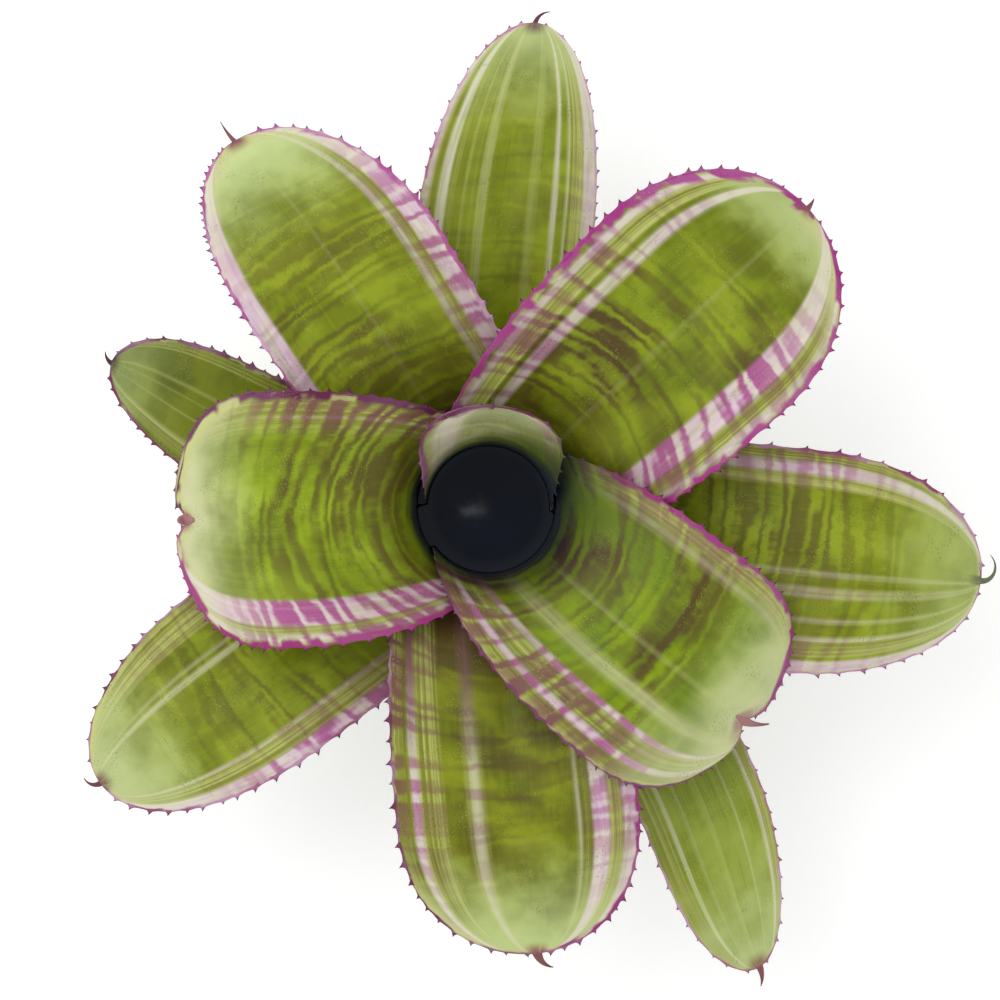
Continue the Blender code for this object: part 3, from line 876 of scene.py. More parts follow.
class LeafForm:
    """The middle surface of a leaf as a function of arc length and sideways distance."""

    def __init__(self, shape: LeafShape, layer: int) -> None:
        """Work out the midrib: up through the bowl, straight up the wall, out in the bend, down the blade.

        Its slope is a chain of straight changes over those four lengths, with a power of the way along
        the blade for the droop; the radius and the height are the running sums of its cosine and sine.

        Args:
            shape: the leaf's plan.
            layer: its number, counted from the youngest.
        """
        self.shape = shape
        share = layer / (len(LEAVES) - 1)
        stem_radius = CUP.stem_top_radius + (CUP.stem_base_radius - CUP.stem_top_radius) * share
        base_height = CUP.youngest_leaf_height + (CUP.oldest_leaf_height - CUP.youngest_leaf_height) * share
        self.base_radius = stem_radius + CUP.base_clearance
        self.wall_radius = CUP.cup_radius + CUP.leaf_spacing * layer
        slope = math.radians(CUP.base_slope)
        bowl_radius = (self.wall_radius - self.base_radius) / (1.0 - math.sin(slope))
        bowl = bowl_radius * (math.pi / 2 - slope)
        wall = shape.throat - base_height - bowl_radius * math.cos(slope)
        bend = shape.bend * (math.pi / 2 - math.radians(shape.rise))
        self.joins = np.cumsum([bowl, wall, bend, shape.blade])
        self.length = float(self.joins[3])
        self.s = np.linspace(0.0, self.length, CUP.samples)
        blade_share = np.clip((self.s - self.joins[2]) / shape.blade, 0.0, 1.0) ** CUP.blade_arch
        self.slope = np.interp(self.s, [0.0, *self.joins[:3]],
                               np.radians([CUP.base_slope, 90.0, 90.0, shape.rise]))
        self.slope = self.slope + np.radians(shape.tip_slope - shape.rise) * blade_share
        self.radius = self.base_radius + self.running_sum(np.cos(self.slope)) * self.s[1]
        self.height = base_height + self.running_sum(np.sin(self.slope)) * self.s[1]
        self.throat = float(self.joins[1] + 0.5 * (self.joins[2] - self.joins[1]))

    @staticmethod
    def running_sum(values: Array) -> Array:
        """Trapezium sum from the first sample, for a unit step."""
        return np.concatenate([[0.0], np.cumsum((values[1:] + values[:-1]) / 2.0)])

    def rounded_end(self, count: int) -> Array:
        """Arc lengths in the rounded end, crowding towards the tip."""
        turn = np.linspace(0.0, np.pi / 2, count)
        return self.length - self.shape.round_end + self.shape.round_end * np.sin(turn)

    def crowded(self, straight: int, rounded: int) -> Array:
        """Arc lengths from base to tip, with so many evenly before the rounded end and so many in it."""
        rounded_end = self.rounded_end(rounded)
        return np.concatenate([np.linspace(0.0, rounded_end[0], straight, endpoint=False), rounded_end])

    def full_half_width(self, s: Array) -> Array:
        """Half width before the end is rounded off: base, sheath, neck and blade joined by easings.

        Args:
            s: arc lengths from the base.

        Returns:
            The half widths.
        """
        shape = self.shape
        wall_end = self.joins[1]
        widest = self.throat + (self.length - self.throat) * shape.widest
        base = CUP.base_wrap * self.base_radius
        width = base + (shape.sheath / 2 - base) * ease(s / (CUP.sheath_widest * wall_end))
        narrows = CUP.sheath_narrows * wall_end
        width = width + (shape.neck - shape.sheath) / 2 * ease((s - narrows) / (self.throat - narrows))
        return width + (shape.width - shape.neck) / 2 * ease((s - self.throat) / (widest - self.throat))

    def end_share(self, s: Array) -> Array:
        """0 where the rounded end starts and 1 at the tip."""
        return np.clip((s - (self.length - self.shape.round_end)) / self.shape.round_end, 0.0, 1.0)

    def half_width(self, s: Array) -> Array:
        """Half width of the outline, which closes to nothing at the tip as a superellipse."""
        return self.full_half_width(s) * np.sqrt(1.0 - self.end_share(s) ** self.shape.blunt)

    def freedom(self, s: Array) -> Array:
        """0 in the cup wall, rising to 1 at the tip."""
        start = self.joins[1] + CUP.blade_free_from * (self.joins[2] - self.joins[1])
        return ease((s - start) / (self.length - start))

    def surface(self, s: Array, x: Array) -> Array:
        """Points of the middle surface.

        A cross-line is an arc about the plant's axis in the cup wall.  It grows flatter along the blade,
        where its ends also rise into a gutter, fall at the tip, wave and tilt.

        Args:
            s: arc length from the base along the midrib.
            x: distance to the left of the midrib, of the same shape as s.

        Returns:
            The points, with x, y, z as the last axis.
        """
        shape = self.shape
        free, end = self.freedom(s), self.end_share(s)
        x = x + shape.skew * end ** 2
        if shape.notch:
            s = s - shape.notch * np.exp(-((x / CUP.notch_half_width) ** 2)) * end ** 2
        radius, height = np.interp(s, self.s, self.radius), np.interp(s, self.s, self.height)
        share = x / self.full_half_width(s)
        turn = radius * (1.0 + CUP.blade_flattening * free)
        outward = radius - turn * (1.0 - np.cos(x / turn))
        sideways = turn * np.sin(x / turn)
        gutter = CUP.gutter_depth * 4.0 * free * (1.0 - free) - CUP.tip_droop * free ** 2
        wave = np.sin(FULL_TURN * s / CUP.ripple_length + 2.0 * np.sign(x))
        ripple = shape.ripple * np.abs(share) ** 3 * wave
        tilt = math.tan(math.radians(shape.roll)) * sideways
        height = height + gutter * share ** 2 + free * (tilt + ripple)
        angle = np.radians(shape.azimuth + shape.sweep * free ** CUP.sweep_power)
        return np.stack([outward * np.cos(angle) - sideways * np.sin(angle),
                         outward * np.sin(angle) + sideways * np.cos(angle), height], axis=-1)

    def normal(self, s: Array, x: Array) -> Array:
        """Unit normals of the upper face, from differences over a short distance.

        Args:
            s, x: places on the leaf, as surface takes them.

        Returns:
            The normals, with x, y, z as the last axis.
        """
        along = self.surface(s + CUP.normal_step, x) - self.surface(s - CUP.normal_step, x)
        across = self.surface(s, x + CUP.normal_step) - self.surface(s, x - CUP.normal_step)
        return unit(np.cross(along, across))


@dataclass(frozen=True)
class Hook:
    """The dry point at a leaf's tip: a flat tube along a curve that turns sideways and up or down."""

    length: float
    width: float  # where it leaves the leaf
    thickness: float = 0.0009
    turn: float = 0.0  # degrees to the left, over the whole length
    rise: float = -60.0  # degrees upwards
    sides: int = 8
    rings: int = 16
    inside: float = 0.0022  # how far it starts within the leaf
    swell: float = 0.12  # share of the length over which it thickens at its foot
    straight: float = 0.15  # share of the length before it turns
    blunt: float = 0.12  # share of the width that is left at the last ring
    point_reach: float = 0.6  # share of a ring's step from there to the very point
    tangent_step: float = 0.0003
    normal_inset: float = 0.001  # where the leaf's normal is read, within the tip
    edge_state: float = 0.01  # what the finish reads as its distance to the margin
    wall_state: float = 0.1  # and as its height above the cup wall
    foot_state: float = 0.02  # and as the reach of its foot

    def points(self, form: LeafForm) -> Array:
        """Rings of the tube, from the leaf to the point.

        The heading turns and rises evenly with the distance, the middle line is its running sum, and
        each ring is an ellipse across the heading that tapers to the point.

        Args:
            form: the leaf that carries the hook.

        Returns:
            An array of rings by sides by 3.
        """
        s0, zero = np.array([form.length - self.inside]), np.zeros(1)
        start = form.surface(s0, zero)[0]
        along = unit(form.surface(s0 + self.tangent_step, zero)[0] - start)
        up = form.normal(s0 - self.normal_inset, zero)[0]
        left = unit(np.cross(up, along))
        t = np.linspace(0.0, 1.0, self.rings)
        bend = np.clip((t - self.straight) / (1.0 - self.straight), 0.0, 1.0)
        yaw, pitch = np.radians(self.turn) * bend, np.radians(self.rise) * bend
        flat = np.cos(yaw)[:, None] * along + np.sin(yaw)[:, None] * left
        heading = np.cos(pitch)[:, None] * flat + np.sin(pitch)[:, None] * up
        aside = np.cos(yaw)[:, None] * left - np.sin(yaw)[:, None] * along
        above = np.cross(heading, aside)
        step = (self.length + self.inside) / (self.rings - 1)
        run = np.concatenate([np.zeros((1, 3)), np.cumsum((heading[1:] + heading[:-1]) / 2, axis=0)])
        middle = start + run * step
        taper = self.blunt + (1.0 - self.blunt) * (1.0 - t) ** 1.1
        taper = taper * np.interp(t, [0.0, self.swell], [0.2, 1.0])
        around = np.arange(self.sides)[None, :, None] * FULL_TURN / self.sides
        wide = (self.width / 2 * taper)[:, None, None] * np.cos(around) * aside[:, None, :]
        thick = (self.thickness / 2 * taper ** 0.6)[:, None, None] * np.sin(around) * above[:, None, :]
        return middle[:, None, :] + wide + thick


@dataclass(frozen=True)
class Teeth:
    """The prickles along both margins of a leaf."""

    spacing: float = 0.0066
    length: float = 0.0015
    root_width: float = 0.0044
    thickness: float = 0.00055
    hook: float = 0.0008  # lean towards the leaf's tip
    root_depth: float = 0.0005  # how far a prickle starts within the margin
    sides: int = 6
    rings: int = 5
    scallop: float = 0.00045  # rise of the margin towards each prickle
    scallop_width: float = 0.0018
    crowded_left: float = 1.0  # spacing near the tip of the left margin, as a share of the rest
    crowded: float = 0.8  # the same for both margins
    tip_clear: float = 0.0025  # distance before the tip where they end
    uneven: Span = (0.72, 1.3)  # of the spacing
    sizes: Span = (0.75, 1.25)
    point_width: float = 0.00004  # half of what is left at the point
    point_thickness: float = 0.00003
    point_reach: float = 0.9  # share of a ring's step from the last ring to the very point
    tangent_step: float = 0.0004
    normal_inset: float = 0.002  # where the leaf's normal is read, within the margin
    tip_inset: float = 0.001  # and at least so far before the tip

    def places(self, total: float, start: float, left: bool, rng: np.random.Generator) -> Array:
        """Distances along a margin at which prickles stand, unevenly spaced and closer near the tip.

        Args:
            total: length of the margin up to the tip.
            start: distance where the first may stand.
            left: whether this is the left margin.
            rng: random source.

        Returns:
            The distances, rising.
        """
        marks, here = [], start
        crowd = (self.crowded_left if left else 1.0) * self.crowded
        while here < total - self.tip_clear:
            marks.append(here)
            near_tip = float(ease(np.array((here / total - 0.55) / 0.3)))
            here += self.spacing * (1.0 + (crowd - 1.0) * near_tip) * rng.uniform(*self.uneven)
        return np.array(marks)


class LeafMesh:
    """The growing mesh of a leaf: its faces, its points, and three vectors for each point."""

    def __init__(self) -> None:
        """Start with nothing."""
        self.fours: list[Array] = []
        self.threes: list[Array] = []
        self.values: tuple[list[Array], ...] = ([], [], [], [])
        self.count = 0

    def add(self, fours: list[Array], threes: list[Array], *values: Array) -> None:
        """Append one closed part.

        Args:
            fours, threes: its faces, counted from its own first point.
            values: its points, places, states and part vectors.
        """
        self.fours += [block.reshape(-1, 4) + self.count for block in fours]
        self.threes += [block.reshape(-1, 3) + self.count for block in threes]
        for kept, rows in zip(self.values, values):
            kept.append(rows.reshape(-1, 3))
        self.count += values[0].size // 3


def grid_faces(grid: Array, up: bool) -> Array:
    """Quads between neighbouring rows and columns of a grid of vertex numbers, facing up or down."""
    a, b, c, d = grid[:-1, :-1], grid[:-1, 1:], grid[1:, 1:], grid[1:, :-1]
    return np.stack([a, d, c, b] if up else [a, b, c, d], axis=-1)


@dataclass
class LeafBlade:
    """One leaf: a thin closed strap with prickles along its margins and a dry hook at its tip."""

    shape: LeafShape
    layer: int
    finish: LeafFinish
    hook: Hook
    teeth: Teeth
    slot: str
    cup_rows: int = 56
    blade_rows: int = 74
    end_rows: int = 44
    throat_clear: float = 0.002  # least length of the blade's rows
    inner_columns: int = 45
    inner_reach: float = 0.972  # share of the half width that those cover
    rim_columns: tuple[float, ...] = (0.986, 0.9945, 0.9985, 1.0)
    margin_samples: tuple[int, int] = (400, 300)  # before the rounded end and in it
    outline_samples: tuple[int, int] = (90, 110)
    rounding: float = 0.00045  # radius of the margin
    swells: int = 3  # sine waves in the soft unevenness of the blade
    swell_spans: tuple = ((0.022, 0.05), (-2.5, 2.5), (0, 6.28))  # of their length, lean and phase
    undulation: float = 0.00045  # height of that unevenness
    midrib_depth: float = 0.0005
    midrib_width: float = 0.0035
    midrib_deepens: float = 0.03  # distance above the cup wall over which it reaches its depth
    midrib_fade: float = 0.25  # share of the rounded end over which it fades out
    teeth_from: float = 0.022  # distance before the throat where the prickles start
    first_seed: int = 1000
    piece: bpy.types.Object | None = None

    def __post_init__(self) -> None:
        """Prepare the form, this leaf's own random source and the growing mesh."""
        self.form = LeafForm(self.shape, self.layer)
        self.rng = np.random.default_rng(self.first_seed + self.layer)
        self.mesh = LeafMesh()

    def rows(self) -> Array:
        """Arc lengths of the rows: even in the cup and blade, closing up towards the tip.

        Returns:
            The arc lengths, the last one at the tip.
        """
        rounded = self.form.rounded_end(self.end_rows)
        throat = min(self.form.throat, rounded[0] - self.throat_clear)
        return np.concatenate([np.linspace(0.0, throat, self.cup_rows, endpoint=False),
                               np.linspace(throat, rounded[0], self.blade_rows, endpoint=False), rounded])

    def columns(self) -> Array:
        """Shares of the half width from the right margin to the left, closest at the margins."""
        inner = np.linspace(-self.inner_reach, self.inner_reach, self.inner_columns)
        return np.concatenate([-np.array(self.rim_columns)[::-1], inner, self.rim_columns])

    def margin(self, side: int) -> tuple[Array, Array, Array]:
        """Finely sampled margin of one side.

        Args:
            side: 1 for the left margin, -1 for the right.

        Returns:
            Arc length along the midrib, the points, and the distance along the margin.
        """
        s = self.form.crowded(*self.margin_samples)
        points = self.form.surface(s, side * self.form.half_width(s))
        steps = np.linalg.norm(np.diff(points, axis=0), axis=1)
        return s, points, np.concatenate([[0.0], np.cumsum(steps)])

    def edge_distance(self, s: Array, x: Array) -> Array:
        """Distance of each place on the leaf to its outline, from the nearest of short straight pieces.

        Args:
            s: arc lengths.
            x: sideways distances, of the same shape.

        Returns:
            The distances.
        """
        line_s = self.form.crowded(*self.outline_samples)
        corners = np.stack([line_s, self.form.half_width(line_s)], axis=-1)
        start, piece = corners[:-1], np.diff(corners, axis=0)
        place = np.stack([s.reshape(-1), np.abs(x).reshape(-1)], axis=-1)
        offset = place[:, None, :] - start[None, :, :]
        along = np.clip((offset * piece).sum(-1) / (piece ** 2).sum(-1), 0.0, 1.0)
        gap = np.linalg.norm(offset - along[..., None] * piece, axis=-1).min(axis=1)
        return np.minimum(gap, place[:, 0]).reshape(s.shape)

    def unevenness(self, s: Array, share: Array) -> Array:
        """Soft swells of the blade, a sum of slanting sine waves, with a shallow midrib channel.

        Args:
            s: arc lengths.
            share: shares of the half width, of the same shape.

        Returns:
            How far each place lies above the smooth surface.
        """
        total = np.zeros_like(share)
        for _ in range(self.swells):
            length, lean, phase = (self.rng.uniform(*span) for span in self.swell_spans)
            wave = np.sin(FULL_TURN * s / length + lean * share + phase)
            total += wave * (0.35 + 0.65 * np.abs(share)) / self.swells
        x = share * self.form.half_width(s)
        channel = self.midrib_depth * np.exp(-(x / self.midrib_width) ** 2)
        channel = channel * ease((1.0 - self.form.end_share(s)) / self.midrib_fade)
        channel = channel * ease((s - self.form.joins[1]) / self.midrib_deepens)
        return self.form.freedom(s) * self.undulation * total - channel

    def scallops(self, s_rows: Array, v: Array) -> Array:
        """Place the prickles, and swell the margins by a bell curve about each, felt only near the margin.

        Args:
            s_rows: arc lengths of the rows.
            v: shares of the half width of the columns.

        Returns:
            The shift to the left of each place of the grid.
        """
        swell, self.marks = np.zeros((len(s_rows), len(v))), {}
        for side in SIDES:
            margin_s, _, run = self.margin(side)
            start = float(np.interp(self.form.throat - self.teeth_from, margin_s, run))
            self.marks[side] = self.teeth.places(float(run[-1]), start, side == 1, self.rng)
            here = np.interp(s_rows, margin_s, run)
            nearest = np.abs(here[:, None] - self.marks[side][None, :]).min(axis=1)
            rise = self.teeth.scallop * np.exp(-(nearest / self.teeth.scallop_width) ** 2)
            swell += np.where(v[None, :] * side > 0, side * np.abs(v[None, :]) ** 12 * rise[:, None], 0.0)
        return swell

    def prickles(self, side: int) -> tuple[Array, Array, Array]:
        """All the prickles of one margin.

        Each is a flattened cone whose root spreads along the margin and whose point leans towards the
        leaf's tip: its half width falls as a mix of a line and a power of the distance out.

        Args:
            side: 1 for the left margin, -1 for the right.

        Returns:
            The points as prickles by rings by sides by 3, the share along each prickle, and the arc
            length on the midrib of each prickle.
        """
        teeth, marks = self.teeth, self.marks[side]
        s, points, run = self.margin(side)
        at_s = np.interp(marks, run, s)
        ahead, behind = (np.stack([np.interp(marks + step, run, points[:, k]) for k in range(3)], axis=-1)
                         for step in (teeth.tangent_step, -teeth.tangent_step))
        tangent = unit(ahead - behind)
        inner = side * np.maximum(self.form.half_width(at_s) - teeth.normal_inset, 0.0)
        up = self.form.normal(np.minimum(at_s, self.form.length - teeth.tip_inset), inner)
        up = unit(up - (up * tangent).sum(-1, keepdims=True) * tangent)
        out = np.cross(up, tangent) * side
        size = self.rng.uniform(*teeth.sizes, len(marks))
        size = size * np.interp(at_s / self.form.length, [0.4, 0.6, 1], [0.6, 1, 0.8])
        t = np.linspace(0.0, 1.0, teeth.rings + 1)[:-1]
        width = teeth.root_width / 2 * (0.30 * (1 - t) + 0.70 * (1 - t) ** 2.6) + teeth.point_width
        thick = teeth.thickness / 2 * (1 - t) ** 0.7 + teeth.point_thickness
        reach = (teeth.length + teeth.scallop + teeth.root_depth) * t - teeth.root_depth
        lean = teeth.hook * t ** 1.8
        around = np.arange(teeth.sides) * FULL_TURN / teeth.sides
        scale = size[:, None, None, None]
        out, tangent, up = (direction[:, None, None, :] for direction in (out, tangent, up))
        reach, lean, width, thick = (values[None, :, None, None] for values in (reach, lean, width, thick))
        cosine, sine = np.cos(around)[None, None, :, None], np.sin(around)[None, None, :, None]
        middle = scale * (reach * out + lean * tangent)
        ring = scale * (width * cosine * tangent - side * thick * sine * up)
        return ((ahead + behind) / 2)[:, None, None, :] + middle + ring, t, at_s

    def add_strap(self) -> None:
        """Add the strap: an upper and a lower grid, half the thickness to each side of the middle surface.

        The thickness falls with the square of the share across and rounds off as a quarter circle at
        the margin. Both grids share their outline, and both close at the tip.
        """
        form = self.form
        s_rows, v = self.rows()[:-1], self.columns()
        rows, columns = len(s_rows), len(v)
        s = np.repeat(s_rows[:, None], columns, axis=1)
        x = form.half_width(s_rows)[:, None] * v[None, :]
        share = np.repeat(v[None, :], rows, axis=0)
        edge = self.edge_distance(s, x)
        swell = self.scallops(s_rows, v)
        thick = CUP.middle_thickness + (CUP.margin_thickness - CUP.middle_thickness) * share ** 2
        thick = thick * np.sqrt(1.0 - (1.0 - np.clip(edge / self.rounding, 0.0, 1.0)) ** 2)
        normal = form.normal(s, x)
        middle = form.surface(s, x + swell) + normal * self.unevenness(s, share)[..., None]
        offset = normal * (thick / 2)[..., None]

        upper = np.arange(rows * columns).reshape(rows, columns)
        own = np.zeros((rows, columns), dtype=bool)
        own[1:, 1:-1] = True
        lower = upper.copy()
        lower[own] = rows * columns + np.arange(own.sum())
        tips = np.full(columns - 1, rows * columns + int(own.sum()))
        threes = [np.stack([upper[-1, :-1], tips, upper[-1, 1:]], axis=-1),
                  np.stack([lower[-1, :-1], lower[-1, 1:], tips], axis=-1)]

        after_throat, after_wall = form.length - form.throat, form.length - form.joins[1]
        place = np.stack([x, s - form.throat, share], axis=-1)
        state = np.stack([edge, (s - form.throat) / after_throat, s - form.joins[1]], axis=-1)
        part = np.zeros((rows, columns, 3))
        values = (
            (middle + np.where(own[..., None], offset, 0.0), (middle - offset)[own],
             form.surface(np.array([form.length]), np.zeros(1))),
            (place, place[own], np.array([0.0, after_throat, 0.0])),
            (state, state[own], np.array([0.0, 1.0, after_wall])),
            (part, part[own] + (0.0, 1.0, 0.0), np.zeros(3)),
        )
        self.mesh.add([grid_faces(upper, True), grid_faces(lower, False)], threes,
                      *(np.concatenate([rows_of.reshape(-1, 3) for rows_of in group]) for group in values))

    def add_prickles(self, side: int) -> None:
        """Add the prickles of one margin, each with a fan at its root and one at its point.

        Args:
            side: 1 for the left margin, -1 for the right.
        """
        form = self.form
        shape, t, at_s = self.prickles(side)
        number, _, sides, _ = shape.shape
        last, before = shape[:, -1].mean(axis=1), shape[:, -2].mean(axis=1)
        point = last + (last - before) * self.teeth.point_reach
        ends = np.stack([shape[:, 0].mean(axis=1), point], axis=1)
        one, (quads, *fans) = closed_lathe(shape[0], ends[0])
        shift = np.arange(number)[:, None, None] * len(one)
        along = np.repeat((at_s - form.throat)[:, None], len(one), axis=1)
        across = np.repeat(side * form.half_width(at_s)[:, None], len(one), axis=1)
        tooth = np.concatenate([np.repeat(t, sides), [0.0, 1.0]])[None, :].repeat(number, axis=0)
        flat = np.zeros_like(along)
        way = along / (form.length - form.throat)
        self.mesh.add([quads[None] + shift], [np.concatenate(fans)[None] + shift],
                      np.concatenate([shape.reshape(number, -1, 3), ends], axis=1),
                      np.stack([across, along, flat + side], axis=-1),
                      np.stack([flat, way, along + form.throat - form.joins[1]], axis=-1),
                      np.stack([tooth, flat, flat], axis=-1))

    def add_hook(self) -> None:
        """Add the dry point, whose state says that it is far from the margin and the cup."""
        hook, rings = self.hook, self.hook.points(self.form)
        last, before = rings[-1].mean(axis=0), rings[-2].mean(axis=0)
        ends = np.stack([rings[0].mean(axis=0), last + (last - before) * hook.point_reach])
        points, (quads, *fans) = closed_lathe(rings, ends)
        reach = np.concatenate([np.repeat(np.linspace(0.0, 1.0, hook.rings), hook.sides), [0.0, 1.0]])
        flat = np.zeros_like(reach)
        self.mesh.add([quads], fans, points,
                      np.stack([flat, flat + self.form.length - self.form.throat, flat], axis=-1),
                      np.stack([flat + hook.edge_state, flat + 1.0, flat + hook.wall_state], axis=-1),
                      np.stack([flat, flat, hook.foot_state + (1.0 - hook.foot_state) * reach], axis=-1))

    def build(self) -> None:
        """Make the leaf's mesh: strap, prickles and hook in one piece, with its attributes and UV map."""
        self.add_strap()
        for side in SIDES:
            self.add_prickles(side)
        self.add_hook()
        points, places, states, parts = (np.concatenate(rows) for rows in self.mesh.values)
        faces = [np.concatenate(rows) for rows in (self.mesh.fours, self.mesh.threes)]
        piece = new_mesh_object(self.shape.name + "_blade", points, faces)
        for name, values in (("blade_place", places), ("blade_state", states), ("blade_part", parts)):
            set_vector_attribute(piece.data, name, values)
        across, along = places[:, 2], np.clip(states[:, 1], -1, 1)
        set_uv(piece.data, "leaf_map", np.stack([across, along], axis=-1) * 0.5 + 0.5)
        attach(piece, "root")
        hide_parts(self.shape.name)
        self.piece = piece

    def dress(self, effects: Effects) -> None:
        """Give the leaf its material.

        Args:
            effects: the shared effects.
        """
        skin = LeafSkin(self.shape.name + "_skin", self.finish, effects)
        skin.build()
        skin.put_on(self.piece)

    def stray(self) -> float:
        """How far the finished leaf reaches past the model's leaf.

        Returns:
            The greatest distance past its box, in metres.
        """
        low, high = (np.array(corner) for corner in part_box(self.shape.name))
        co = np.empty(len(self.piece.data.vertices) * 3, dtype=np.float32)
        self.piece.data.vertices.foreach_get("co", co)
        co = co.reshape(-1, 3)
        return float(max((low - co.min(axis=0)).max(), (co.max(axis=0) - high).max()))


# ---- the finishes

